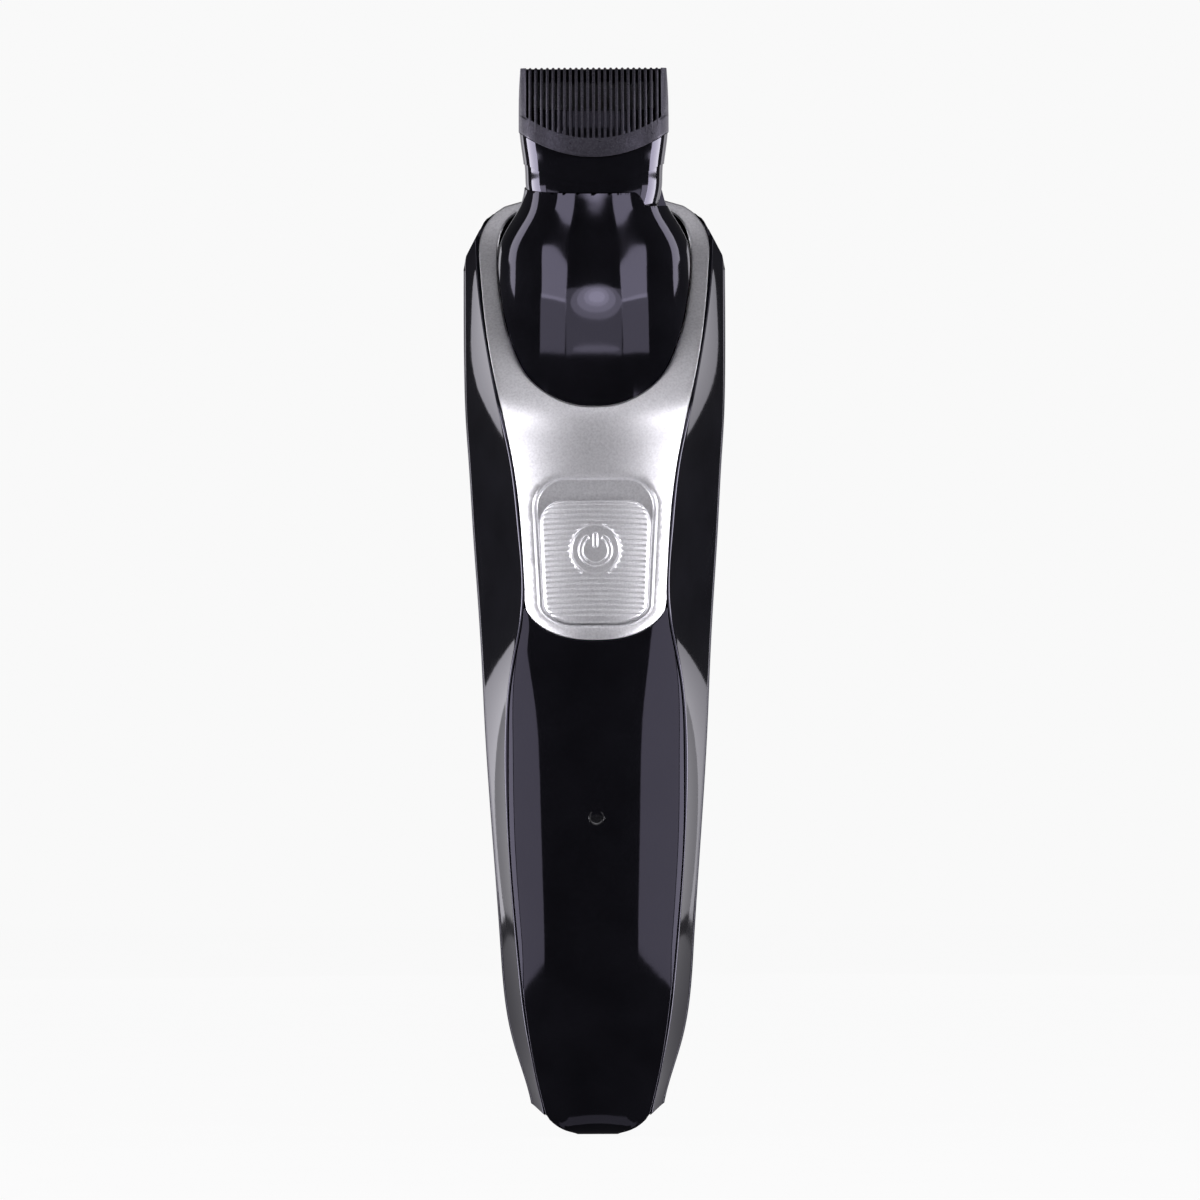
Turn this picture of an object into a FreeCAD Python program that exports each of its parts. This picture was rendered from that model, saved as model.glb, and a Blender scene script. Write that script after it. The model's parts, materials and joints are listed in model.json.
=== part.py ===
import FreeCAD, Part
import math
import os

# Cordless hair clipper, standing upright. Millimetres.
# Origin: mouth of the charging socket, at the foot. +Z runs up to the comb, the front faces -Y.

V = FreeCAD.Vector
EX, EY, EZ = V(1, 0, 0), V(0, 1, 0), V(0, 0, 1)

# ---------------------------------------------------------------- driving dimensions
LENGTH = 170.4            # foot to comb tips
FAR = 60.0                # reach of a cutting block, clear of the body
INLAY = 1.5               # thickness of the faceplate and of the front panel
FLOOR = 1.4               # frame floor behind them
WALL = 2.0                # side and rear walls
SEAM = 0.12               # gap round an inlaid piece
CREST = 0.35              # frame lip between the inlay seam and the side facet
CREASE = 0.4              # the facet ends this far inside the silhouette
GAP = 0.12                # gap between faces of different moving bodies

# height, half width, seam half width, front, crown drop, parting, back
STATIONS = (
    (-3.0, 10.0, 7.4, -6.0, 1.2, 0.0, 6.4),
    (5.0, 10.7, 8.7, -8.2, 1.8, 0.0, 9.2),
    (15.0, 13.6, 10.8, -10.0, 2.4, 0.2, 11.8),
    (30.0, 15.5, 12.6, -12.0, 3.2, 0.5, 14.4),
    (50.0, 16.9, 14.0, -13.8, 3.8, 0.8, 16.6),
    (66.0, 17.9, 14.1, -14.7, 3.6, 1.0, 17.7),
    (75.0, 18.3, 13.1, -15.0, 2.7, 1.0, 18.2),
    (84.0, 18.8, 11.5, -15.2, 1.8, 1.0, 18.4),
    (96.0, 19.6, 11.9, -15.2, 1.6, 1.0, 18.5),
    (108.0, 20.3, 13.3, -15.0, 1.8, 1.5, 18.4),
    (114.0, 20.7, 14.6, -14.4, 1.9, 2.0, 18.3),
    (120.0, 20.9, 15.9, -11.8, 1.8, 3.0, 18.1),
    (132.0, 21.0, 17.9, -2.4, 1.2, 6.0, 17.6),
    (138.0, 21.0, 18.5, 2.5, 1.0, 8.3, 17.3),
    (144.0, 21.0, 18.7, 7.2, 0.9, 10.8, 16.9),
    (152.0, 21.0, 18.9, 12.0, 0.8, 13.8, 16.2),
)

# thumb recess in the faceplate: half width at the top and at the foot, then heights
SWITCH_HALF, SWITCH_FOOT = 9.6, 8.8
SWITCH_LOW, SWITCH_HIGH = 81.3, 104.8
SWITCH_TRAVEL = 3.0
BUTTON_HALF, BUTTON_FOOT = 8.9, 8.3
BUTTON_LOW, BUTTON_HIGH = 81.6, 101.2
RECESS_Y = -13.2          # floor of the recess
RIB_PITCH = 0.84

LIGHT_Z, LIGHT_R = 50.7, 1.2

JACK_R, WELL_R, WELL_DEPTH, CONTACT_R = 3.0, 1.8, 3.2, 1.25

BOARD_Y, BOARD_T, BOARD_HALF = -9.0, 1.0, 8.0
BOARD_LOW, BOARD_HIGH = 46.0, 105.0

CELL_R, CELL_LOW, CELL_HIGH, CELL_Y = 7.1, 36.0, 86.0, 3.0

MOTOR_R, MOTOR_LOW, MOTOR_HIGH = 7.4, 108.0, 134.0
SHAFT_R, RUNNING = 1.0, 0.05
CAM_R, THROW, CAM_PIN_R = 3.0, 0.8, 0.8
CAM_LOW, CAM_HIGH, CAM_PIN_TOP = 137.6, 142.0, 153.6

NECK_TOP, NECK_TILT = 151.2, 7.4    # rim height on the axis, and its slope down to the front
NECK_BACK = 11.0                    # rear of the neck inside the body
NOTCH_X, NOTCH_FLOOR = 6.9, 148.0   # step in the rim that keys the head

PIVOT_Z, PIVOT_R = 157.6, 0.8
BLADE_ARM = 5.2                     # lever pivot to the blade peg
BLADE_TOP = 168.2
BLADE_Y = 2.0                       # sliding plane of the two blades

COMB_HALF, COMB_WALL = 12.0, 0.85
TOOTH_COUNT, TOOTH_PITCH, TOOTH_GAP = 25, 0.92, 0.42


# ---------------------------------------------------------------- helpers
def box(x0, x1, y0, y1, z0, z1):
    return Part.makeBox(x1 - x0, y1 - y0, z1 - z0, V(x0, y0, z0))


def cylinder(r, base, axis, h):
    return Part.makeCylinder(r, h, base, axis)


def tube(r_out, r_in, base, axis, h):
    return cylinder(r_out, base, axis, h).cut(cylinder(r_in, base, axis, h))


def curve(points):
    spline = Part.BSplineCurve()
    spline.interpolate(points)
    return spline.toShape()


def line(a, b):
    return Part.makeLine(a, b)


def mirror_x(points):
    """The other half of an outline: the same points at -x, in reverse order."""
    return [V(-p.x, p.y, p.z) for p in reversed(points)]


def across(wire, y0, y1):
    """A block with the given outline in XZ, running along Y."""
    face = Part.Face(wire)
    face.translate(V(0, y0, 0))
    return face.extrude(V(0, y1 - y0, 0))


def along_x(wire, x0, x1):
    """A block with the given outline in YZ, running along X."""
    face = Part.Face(wire)
    face.translate(V(x0, 0, 0))
    return face.extrude(V(x1 - x0, 0, 0))


def polygon(points):
    return Part.makePolygon(list(points) + [points[0]])


def rounded_rect_xz(half, z0, z1, r):
    """A rounded rectangle in XZ, centred on x = 0."""
    k = r * (1 - math.sqrt(0.5))
    edges = []
    corners = ((1, 1), (-1, 1), (-1, -1), (1, -1))
    for i, (sx, sz) in enumerate(corners):
        x = sx * half
        z = z1 if sz > 0 else z0
        a, b = V(x, 0, z - sz * r), V(x - sx * r, 0, z)
        if i % 2:
            a, b = b, a
        edges.append(Part.Arc(a, V(x - sx * k, 0, z - sz * k), b).toShape())
    for i in range(4):
        start = edges[i].Vertexes[-1].Point
        end = edges[(i + 1) % 4].Vertexes[0].Point
        edges.append(line(start, end))
    return Part.Wire(Part.__sortEdges__(edges))


def thumb_outline(top_half, foot_half, z0, z1, r, grow):
    """Outline in XZ that narrows downwards, with round shoulders and a softly bowed foot."""
    k, run, rise = math.sqrt(0.5), 0.64 * foot_half, 3.4
    cx, cz = top_half - r, z1 - r
    shoulder = Part.Arc(V(cx, 0, z1 + grow), V(cx + (r + grow) * k, 0, cz + (r + grow) * k), V(cx + r + grow, 0, cz))
    bow = []
    for i in range(7):
        t = math.pi / 2 * i / 6
        bow.append(V(foot_half - run + (run + grow) * math.cos(t), 0, z0 + rise - (rise + grow) * math.sin(t)))
    side = line(V(cx + r + grow, 0, cz), bow[0])
    right = [shoulder.toShape(), side, curve(bow)]
    edges = right + [e.mirror(V(0, 0, 0), EX) for e in right]
    edges.append(line(V(-cx, 0, z1 + grow), V(cx, 0, z1 + grow)))
    edges.append(line(V(-bow[-1].x, 0, z0 - grow), V(bow[-1].x, 0, z0 - grow)))
    return Part.Wire(Part.__sortEdges__(edges))


def superellipse(a, front, back, z, power=2.4, count=6):
    """A closed smooth section in four quarters at height z, half width a, from y = front to y = back."""
    mid, b = (front + back) / 2, (back - front) / 2
    edges = []
    for quarter in range(4):
        points = []
        for i in range(count + 1):
            t = math.pi / 2 * (quarter + i / count)
            c, s = math.cos(t), math.sin(t)
            x = a * math.copysign(abs(c) ** (2 / power), c)
            y = mid + b * math.copysign(abs(s) ** (2 / power), s)
            points.append(V(x, y, z))
        ahead = [V(0, 1, 0), V(-1, 0, 0), V(0, -1, 0), V(1, 0, 0)]
        spline = Part.BSplineCurve()
        spline.interpolate(Points=points, InitialTangent=ahead[quarter], FinalTangent=ahead[(quarter + 1) % 4])
        edges.append(spline.toShape())
    return Part.Wire(edges)


def one_solid(shape):
    """The shape as a single solid; anything else is a modelling fault."""
    solids = sorted(shape.removeSplitter().Solids, key=lambda s: s.Volume)
    if len(solids) > 1:
        print("loose pieces:", [(round(s.Volume, 3), s.CenterOfMass) for s in solids[:-1]])
    return solids[-1]


PARTS = {}


def add(name, *shapes):
    PARTS[name] = shapes[0] if len(shapes) == 1 else Part.makeCompound(list(shapes))


# ---------------------------------------------------------------- body form
def body_section(station, front_inset, side_inset):
    """One horizontal section: crowned front, two hollow facets, and the rounded back."""
    z, half, seam, front, drop, parting, back = station
    x1 = seam + CREST - 0.6 * front_inset
    y1 = front + drop + front_inset
    x2 = half - CREASE - side_inset
    y2 = parting - 0.6
    crown = Part.Arc(V(-x1, y1, z), V(0, front + front_inset, z), V(x1, y1, z)).toShape()
    hollow = 0.06 * math.hypot(x2 - x1, y2 - y1)
    mid = V((x1 + x2) / 2, (y1 + y2) / 2, z)
    normal = V(y2 - y1, x1 - x2, 0).normalize()
    dip = mid - normal * hollow
    facet = Part.Arc(V(x1, y1, z), dip, V(x2, y2, z)).toShape()
    other = Part.Arc(V(-x2, y2, z), V(-dip.x, dip.y, z), V(-x1, y1, z)).toShape()
    w, depth = half - side_inset, back - side_inset - parting
    rear = [V(x2, y2, z)]
    for degrees in (0, 22, 44, 66):
        t = math.radians(degrees)
        rear.append(V(w * math.cos(t) ** 0.85, parting + 0.6 + (depth - 0.6) * math.sin(t) ** 0.95, z))
    rear += [V(0, back - side_inset, z)] + mirror_x(rear)
    return Part.Wire([crown, facet, curve(rear), other])


def front_outline(inset):
    """The body seen from the front: only the arched shoulders and the foot cut the sections."""
    top_k, foot_k = 1 - inset / 18.0, 1 - inset / 11.0
    shoulder = [(FAR, 136.0), (21.4, 136.0), (20.6, 140.6), (17.5, 146.5), (14.4, 148.6)]
    shoulder = [V(x * top_k, 0, z - inset) for x, z in shoulder]
    crown = [V(14.4 * top_k, 0, 148.6 - inset), V(8.0 * top_k, 0, 150.1 - inset), V(0, 0, 150.5 - inset)]
    foot = [V(0, 0, inset), V(3.3, 0, inset), V(5.2 * foot_k, 0, 0.5 + inset)]
    foot += [V(6.9 * foot_k, 0, 1.5 + inset), V(8.3 * foot_k, 0, 3.0 + inset)]
    corner, edge = V(10.6 * foot_k, 0, 4.8 + inset), V(FAR * top_k, 0, 4.8 + inset)
    edges = [curve(crown + mirror_x(crown)[1:]), line(mirror_x(foot[:2])[0], foot[1])]
    for side in (list, mirror_x):
        outer = side(shoulder)
        edges += [line(p, q) for p, q in zip(outer[:-1], outer[1:])]
        edges.append(curve(side(foot[1:])))
        for p, q in ((foot[-1], corner), (corner, edge), (edge, shoulder[0])):
            ends = side([p, q])
            edges.append(line(ends[0], ends[1]))
    return Part.Wire(Part.__sortEdges__(edges))


def side_outline(inset):
    """The body seen from the side: only the rounded foot cuts the sections."""
    k = 1 - inset / 11.0
    front = [V(0, -4.4, inset), V(0, -6.6 * k, 1.1 + inset), V(0, -8.6 * k, 3.6 + inset), V(0, -11.0 * k, 9.0 + inset)]
    back = [V(0, 4.6, inset), V(0, 7.0 * k, 1.2 + inset), V(0, 9.2 * k, 4.0 + inset), V(0, 12.0 * k, 9.0 + inset)]
    frame = [front[-1], V(0, -FAR, 40.0), V(0, -FAR, 200.0), V(0, FAR, 200.0), V(0, FAR, 40.0), back[-1]]
    edges = [curve(front), curve(back), line(front[0], back[0])]
    edges += [line(p, q) for p, q in zip(frame[:-1], frame[1:])]
    return Part.Wire(Part.__sortEdges__(edges))


def body(front_inset, side_inset, top=None):
    """The whole outer form, or the form of a cavity inside it."""
    stations = [s for s in STATIONS if top is None or s[0] <= top]
    wires = [body_section(s, front_inset, side_inset) for s in stations]
    form = Part.makeLoft(wires, True, False)
    form = form.common(across(front_outline(side_inset), -FAR, FAR))
    return form.common(along_x(side_outline(side_inset), -FAR, FAR))


def behind_parting():
    """The space behind the line where the front frame and the rear shell meet."""
    line_points = [V(0, s[5], s[0]) for s in STATIONS]
    edges = [curve(line_points), line(line_points[-1], V(0, line_points[-1].y, 170.0))]
    edges.append(line(V(0, line_points[-1].y, 170.0), V(0, FAR, 170.0)))
    edges.append(line(V(0, FAR, 170.0), V(0, FAR, -3.0)))
    edges.append(line(V(0, FAR, -3.0), line_points[0]))
    return along_x(Part.Wire(Part.__sortEdges__(edges)), -FAR, FAR)


OUTER = body(0, 0)
MIDDLE = body(INLAY, INLAY)
INNER = body(INLAY + FLOOR, WALL, 138.0)
REAR = behind_parting()


# ---------------------------------------------------------------- faceplate and front panel
def faceplate_outline(grow):
    """Silver plate from the front: an hourglass below and a horseshoe round the neck."""
    right = [V(11.3, 0, 85.0), V(11.45, 0, 89.0), V(12.0, 0, 98.0), V(13.1, 0, 107.0), V(14.7, 0, 114.8)]
    right += [V(16.4, 0, 122.5), V(17.7, 0, 131.0), V(18.4, 0, 139.0), V(18.0, 0, 144.6)]
    tip = [V(18.0, 0, 144.6), V(17.0, 0, 146.4), V(15.2, 0, 148.3), V(14.4, 0, 149.4)]
    foot = [V(0, 0, 79.2), V(5.6, 0, 79.6), V(9.6, 0, 81.2), V(11.3, 0, 85.0)]
    right = [V(p.x + grow, 0, p.z) for p in right]
    tip = [V(p.x + grow, 0, p.z) for p in tip]
    foot = [V(p.x + grow * p.x / 11.3, 0, p.z - grow * (1 - p.x / 11.3)) for p in foot]
    top = V(14.4 + grow, 0, 170.0)
    edges = [curve(mirror_x(foot) + foot[1:]), line(top, V(-top.x, 0, top.z))]
    for side in (list, mirror_x):
        edges += [curve(side(right)), curve(side(tip))]
        ends = side([tip[-1], top])
        edges.append(line(ends[0], ends[1]))
    return Part.Wire(Part.__sortEdges__(edges))


def panel_outline(grow):
    """Black front panel from the front: under the silver plate down to the foot."""
    right = [V(11.35, 0, 86.0), V(12.0, 0, 80.4), V(13.6, 0, 71.5), V(14.05, 0, 62.0), V(13.95, 0, 48.0)]
    right += [V(13.0, 0, 34.0), V(11.3, 0, 18.0), V(9.3, 0, 7.0), V(8.3, 0, 3.0)]
    right = [V(p.x + grow, 0, p.z) for p in right]
    left = mirror_x(right)
    foot = V(8.3 + grow, 0, -5.0)
    edges = [curve(right), curve(left), line(left[-1], right[0]), line(V(-foot.x, 0, -5.0), foot)]
    edges += [line(right[-1], foot), line(left[0], V(-foot.x, 0, -5.0))]
    return Part.Wire(Part.__sortEdges__(edges))


def neck_opening(grow):
    """Egg-shaped opening that the neck rises through."""
    right = [(0, 116.2), (6.3, 117.6), (10.9, 121.4), (13.9, 128.4), (15.2, 135.6), (15.4, 141.6)]
    right += [(14.2, 145.8), (10.6, 148.0), (0, 148.8)]
    centre = 134.0
    points = [V(x * (1 + grow / 15.4), 0, z + grow * (z - centre) / 16.0) for x, z in right]
    points += [V(-p.x, 0, p.z) for p in reversed(points[1:-1])]
    spline = Part.BSplineCurve()
    spline.interpolate(Points=points, PeriodicFlag=True)
    return Part.Wire(spline.toShape())


PLATE_BLOCK = across(faceplate_outline(0), -FAR, FAR)
FRONT_SKIN = OUTER.cut(MIDDLE).cut(REAR)


def switch_recess(grow):
    """Outline of the thumb recess."""
    return thumb_outline(SWITCH_HALF, SWITCH_FOOT, SWITCH_LOW, SWITCH_HIGH, 4.8, grow)


def silver_faceplate():
    plate = FRONT_SKIN.common(PLATE_BLOCK)
    plate = plate.cut(across(neck_opening(0), -FAR, FAR))
    plate = plate.cut(across(switch_recess(0), -FAR, RECESS_Y))
    tub = across(switch_recess(0.7), RECESS_Y - 0.4, RECESS_Y + 0.8)
    tub = tub.cut(across(switch_recess(0), -FAR, RECESS_Y))
    plate = plate.fuse(tub.common(OUTER))
    slot = rounded_rect_xz(3.1, 87.9, 98.1, 1.0)
    return plate.cut(across(slot, -FAR, FAR))


def front_panel():
    panel = FRONT_SKIN.common(across(panel_outline(0), -FAR, FAR))
    panel = panel.cut(across(faceplate_outline(SEAM), -FAR, FAR))
    panel = panel.cut(cylinder(LIGHT_R + 0.03, V(0, -FAR, LIGHT_Z), EY, FAR))
    return panel.cut(cylinder(JACK_R, V(0, 0, -5), EZ, 20))


# housing screws, hidden under the inlays: x, z and the seat that the head bears on
SCREW_PLACES = ((0, 19.0, -7.6), (10.6, 110.5, -9.6), (-10.6, 110.5, -9.6))
BOSS_R, SCREW_R, HEAD_R, HEAD_H = 2.6, 0.9, 1.7, 1.0


def front_frame():
    frame = OUTER.cut(across(faceplate_outline(SEAM), -FAR, FAR))
    frame = frame.cut(across(panel_outline(SEAM), -FAR, FAR))
    frame = frame.fuse(MIDDLE).cut(INNER).cut(REAR)
    frame = frame.cut(across(neck_opening(0.15), -FAR, FAR))
    frame = frame.cut(across(switch_recess(0.75), -FAR, 0))
    frame = frame.cut(cylinder(LIGHT_R + 0.03, V(0, -FAR, LIGHT_Z), EY, FAR))
    frame = frame.cut(cylinder(JACK_R, V(0, 0, -5), EZ, 20))
    for x, z, seat in SCREW_PLACES:
        boss = cylinder(BOSS_R, V(x, -15, z), EY, 15.2).common(MIDDLE)
        frame = frame.fuse(boss).cut(cylinder(HEAD_R + 0.15, V(x, -20, z), EY, seat + 20))
        frame = frame.cut(cylinder(SCREW_R + 0.15, V(x, -20, z), EY, 40))
    return frame.cut(REAR)


def rear_shell():
    shell = OUTER.cut(INNER).common(REAR)
    shell = shell.cut(across(neck_opening(0.15), -FAR, NECK_BACK + 0.6))
    for x, z, seat in SCREW_PLACES:
        boss = cylinder(BOSS_R, V(x, 0, z), EY, 20).common(MIDDLE).common(REAR)
        shell = shell.fuse(boss).cut(cylinder(SCREW_R, V(x, -5, z), EY, 13))
    for z in (46.0, 76.0):
        rib = box(-12, 12, 6.0, 19.0, z, z + 1.4).common(MIDDLE)
        shell = shell.fuse(rib)
    shell = shell.cut(cylinder(CELL_R, V(0, CELL_Y, CELL_LOW - 2), EZ, CELL_HIGH - CELL_LOW + 4))
    return shell.cut(cylinder(JACK_R, V(0, 0, -5), EZ, 20))


def housing_screw(x, z, seat):
    """Pan-head screw driven in from the front, with a cross recess."""
    screw = cylinder(HEAD_R, V(x, seat - HEAD_H, z), EY, HEAD_H).fuse(cylinder(SCREW_R, V(x, seat, z), EY, 7.0 - seat))
    for half_x, half_z in ((0.95, 0.22), (0.22, 0.95)):
        screw = screw.cut(box(x - half_x, x + half_x, seat - 2, seat - 0.5, z - half_z, z + half_z))
    return one_solid(screw)


add("silver_faceplate", one_solid(silver_faceplate()))
add("front_panel", one_solid(front_panel()))
add("front_frame", one_solid(front_frame()))
add("rear_shell", one_solid(rear_shell()))
add("housing_screws", *[housing_screw(*place) for place in SCREW_PLACES])

# ---------------------------------------------------------------- neck
# height, half width, front, back
NECK_ROWS = (
    (110.0, 16.4, -13.3, 11.0), (116.0, 16.4, -13.4, 11.0), (122.0, 16.3, -13.5, 11.0),
    (128.0, 16.1, -13.2, 11.0), (133.0, 15.9, -12.6, 11.0), (138.0, 15.6, -11.5, 11.0),
    (142.5, 15.0, -10.3, 10.8), (145.5, 13.5, -9.6, 10.3), (148.0, 12.0, -9.1, 9.6),
    (151.0, 11.15, -8.8, 9.0), (156.0, 11.1, -8.7, 8.8),
)


def loft_rows(rows, inset, power):
    wires = [superellipse(a - inset, f + inset, b - inset, z, power) for z, a, f, b in rows]
    return Part.makeLoft(wires, True, False)


def above_tilt(lift, top=180.0):
    """Everything above the tilted joint between neck and head, raised by lift."""
    block = box(-FAR, FAR, -FAR, FAR, 0, top - NECK_TOP)
    block.rotate(V(0, 0, 0), EX, NECK_TILT)
    block.translate(V(0, 0, NECK_TOP + lift))
    return block


def notch(gap):
    """Block that keys the head: a step at the right front of the neck's rim."""
    a, b, c = V(5.6 + gap, 0, 150.6), V(7.5 + gap, 0, 149.5), V(8.2 + gap, 0, NOTCH_FLOOR + gap)
    edges = [Part.Arc(a, b, c).toShape(), line(c, V(20, 0, 148.9 + gap))]
    edges += [line(V(20, 0, 148.9 + gap), V(20, 0, 158)), line(V(20, 0, 158), V(a.x, 0, 158))]
    edges.append(line(V(a.x, 0, 158), a))
    return across(Part.Wire(Part.__sortEdges__(edges)), -FAR, 3.0 - gap)


def neck_bell():
    bell = loft_rows(NECK_ROWS, 0, 2.2).common(across(neck_opening(-0.15), -FAR, FAR).fuse(above_tilt(-8.0)))
    hollow = loft_rows([r for r in NECK_ROWS if r[0] < 150], 1.5, 2.2)
    hollow = hollow.common(across(neck_opening(-1.6), -FAR, FAR))
    bell = bell.cut(hollow).cut(above_tilt(0)).cut(notch(0))
    bell = bell.cut(cylinder(MOTOR_R + 0.6, V(0, 0, 100), EZ, 26.0))
    bell = bell.cut(cylinder(4.4, V(0, 0, 146), EZ, 12))
    for y in (-6.95, 5.45):
        bell = bell.cut(box(-2.65, 2.65, y, y + 1.5, 145, 158))
    return bell


add("neck_bell", one_solid(neck_bell()))
add("shaft_seal", tube(4.4, 2.2, V(0, 0, 147.6), EZ, 1.2))

# ---------------------------------------------------------------- thumb switch
BUTTON_FRONT, BUTTON_CROWN = -15.5, 45.0
DISC_Z, DISC_R = 93.3, 4.2


def switch_button():
    outline = thumb_outline(BUTTON_HALF, BUTTON_FOOT, BUTTON_LOW, BUTTON_HIGH, 3.9, 0)
    crown = cylinder(BUTTON_CROWN, V(0, BUTTON_FRONT + BUTTON_CROWN, 70), EZ, 50)
    button = across(outline, -17, RECESS_Y - 0.1).common(crown)
    count = int((BUTTON_HIGH - BUTTON_LOW - 1.6) / RIB_PITCH) + 1
    low = (BUTTON_LOW + BUTTON_HIGH - (count - 1) * RIB_PITCH) / 2
    groove = cylinder(BUTTON_CROWN - 0.25, V(0, BUTTON_FRONT + BUTTON_CROWN, 70), EZ, 50)
    disc = cylinder(DISC_R, V(0, -20, DISC_Z), EY, 10)
    for i in range(count):
        z = low + i * RIB_PITCH
        cutter = box(-BUTTON_FOOT + 0.5, BUTTON_FOOT - 0.5, -17, -14, z - 0.17, z + 0.17)
        button = button.cut(cutter.cut(groove).cut(disc))
    return button.fuse(box(-2.5, 2.5, RECESS_Y - 0.1, RECESS_Y + 0.9, 88.1, 94.9))


add("switch_button", one_solid(switch_button()))
carriage = box(-6, 6, -12.3, -11.3, 86.4, 98.0)
add("switch_carriage", one_solid(carriage.cut(box(-1, 1, -13, -11, 88.8, 91.8))))
add("switch_slider", box(-1, 1, -12.2, -10.4, 88.8, 91.8))
switch_body = box(-4.4, 4.4, -11.1, BOARD_Y, 86.5, 97.5)
add("slide_switch", one_solid(switch_body.cut(box(-1.1, 1.1, -12, -10.3, 88.6, 95.0))))

# ---------------------------------------------------------------- board, lamp, cell, socket
board = box(-BOARD_HALF, BOARD_HALF, BOARD_Y, BOARD_Y + BOARD_T, BOARD_LOW, BOARD_HIGH)
add("circuit_board", board)
BACK = BOARD_Y + BOARD_T
add("charge_chip", box(-2.5, 2.5, BACK, BACK + 1.2, 57.0, 61.0))
add("power_inductor", cylinder(2.6, V(0, BACK, 68.0), EY, 1.6))
add("status_led", box(-0.8, 0.8, BOARD_Y - 0.7, BOARD_Y, LIGHT_Z - 0.8, LIGHT_Z + 0.8))
add("light_pipe", cylinder(LIGHT_R, V(0, -13.7, LIGHT_Z), EY, 13.7 + BOARD_Y - 0.7))

cell = cylinder(CELL_R - 0.05, V(0, CELL_Y, CELL_LOW), EZ, CELL_HIGH - CELL_LOW - 1.6)
add("battery_cell", one_solid(cell.fuse(cylinder(2.6, V(0, CELL_Y, CELL_HIGH - 1.6), EZ, 1.6))))
tabs = [box(-2.5, 2.5, CELL_Y - 5, CELL_Y + 2.5, z, z + 0.3) for z in (CELL_LOW - 0.3, CELL_HIGH)]
add("battery_tabs", *tabs)

jack = cylinder(JACK_R, V(0, 0, 0), EZ, 11.0).fuse(cylinder(4.3, V(0, 0, 2.2), EZ, 1.2))
jack = jack.cut(cylinder(WELL_R, V(0, 0, -1), EZ, WELL_DEPTH + 1))
jack = jack.cut(cylinder(CONTACT_R, V(0, 0, WELL_DEPTH - 0.5), EZ, 9.5 - WELL_DEPTH + 0.5))
add("charge_jack", one_solid(jack))
add("jack_centre_pin", cylinder(0.5, V(0, 0, 3.9), EZ, 5.6))
add("jack_terminals", *[box(x - 0.9, x + 0.9, -0.3, 0.3, 11.0, 14.0) for x in (-1.8, 1.8)])


def wire(points, r):
    """A round wire: straight runs with the widest tangent arc that each corner allows."""
    edges, start = [], points[0]
    for before, corner, after in zip(points[:-2], points[1:-1], points[2:]):
        u, w = (before - corner), (after - corner)
        reach = 0.45 * min(u.Length, w.Length)
        u, w = u.normalize(), w.normalize()
        a, b = corner + u * reach, corner + w * reach
        half = math.acos(max(-1.0, min(1.0, u.dot(w)))) / 2
        centre = corner + (u + w).normalize() * (reach / math.cos(half))
        middle = centre + (corner - centre).normalize() * (reach * math.tan(half))
        edges += [line(start, a), Part.Arc(a, middle, b).toShape()]
        start = b
    edges.append(line(start, points[-1]))
    path = Part.Wire(edges)
    circle = Part.Wire(Part.makeCircle(r, points[0], points[1] - points[0]))
    return path.makePipeShell([circle], True, True)


WIRE_R = 0.45
JOINT_Y = BACK + 0.02     # the wires end just clear of the board
CAP_TOP = MOTOR_LOW - 2.0


def wire_runs(side):
    """Socket to board, cell to board and board to motor, on one side."""
    x = 4.6 * side
    socket = [V(1.8 * side, 0, 14.02), V(1.8 * side, 0, 15.2), V(4.4 * side, -0.4, 17.6)]
    socket += [V(4.4 * side, -3.2, 29.0), V(x, -5.9, 40)]
    socket += [V(x, -6.1, 50.5), V(x, JOINT_Y, 50.5)]
    motor = [V(x, JOINT_Y, 99.0), V(x, -5.6, 99.0), V(x, -1.6, 100.4), V(4.2 * side, 0, 102.6)]
    motor.append(V(4.2 * side, 0, 104.58))
    cell_z = CELL_HIGH + 0.3 if side > 0 else CELL_LOW - 0.3
    step = 2.5 * side
    tab = [V(1.6 * side, CELL_Y - 4.2, cell_z), V(1.6 * side, CELL_Y - 4.2, cell_z + step)]
    tab += [V(2.2 * side, -5.6, cell_z + 2.4 * step), V(2.2 * side, JOINT_Y, cell_z + 2.4 * step)]
    return [wire(run, WIRE_R) for run in ((socket, motor, tab) if side > 0 else (socket, motor))]


add("red_wires", *wire_runs(1))
add("black_wires", *wire_runs(-1))

# ---------------------------------------------------------------- motor and drive
can = cylinder(MOTOR_R, V(0, 0, MOTOR_LOW), EZ, MOTOR_HIGH - MOTOR_LOW)
can = can.fuse(cylinder(3.0, V(0, 0, MOTOR_HIGH), EZ, 1.3))
add("motor_can", one_solid(can.cut(cylinder(SHAFT_R + RUNNING, V(0, 0, 100), EZ, 50))))
cap = cylinder(MOTOR_R - 0.3, V(0, 0, CAP_TOP), EZ, 2.0)
add("motor_end_cap", one_solid(cap.cut(cylinder(SHAFT_R + RUNNING, V(0, 0, 100), EZ, 50))))
add("motor_terminals", *[box(x - 0.8, x + 0.8, -0.3, 0.3, CAP_TOP - 1.4, CAP_TOP) for x in (-4.2, 4.2)])
add("motor_damper", tube(MOTOR_R + 1.2, MOTOR_R, V(0, 0, 127.5), EZ, 3.0))

bracket = loft_rows(NECK_ROWS, 1.65, 2.2).common(box(-20, 20, -20, 20, MOTOR_HIGH, MOTOR_HIGH + 1.3))
bracket = bracket.common(across(neck_opening(-1.75), -FAR, FAR))
bracket = bracket.cut(cylinder(3.0, V(0, 0, 130), EZ, 10))
MOTOR_SCREW_X = 5.2
for x in (-MOTOR_SCREW_X, MOTOR_SCREW_X):
    bracket = bracket.cut(cylinder(SCREW_R, V(x, 0, 130), EZ, 10))
add("motor_bracket", one_solid(bracket))


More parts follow.
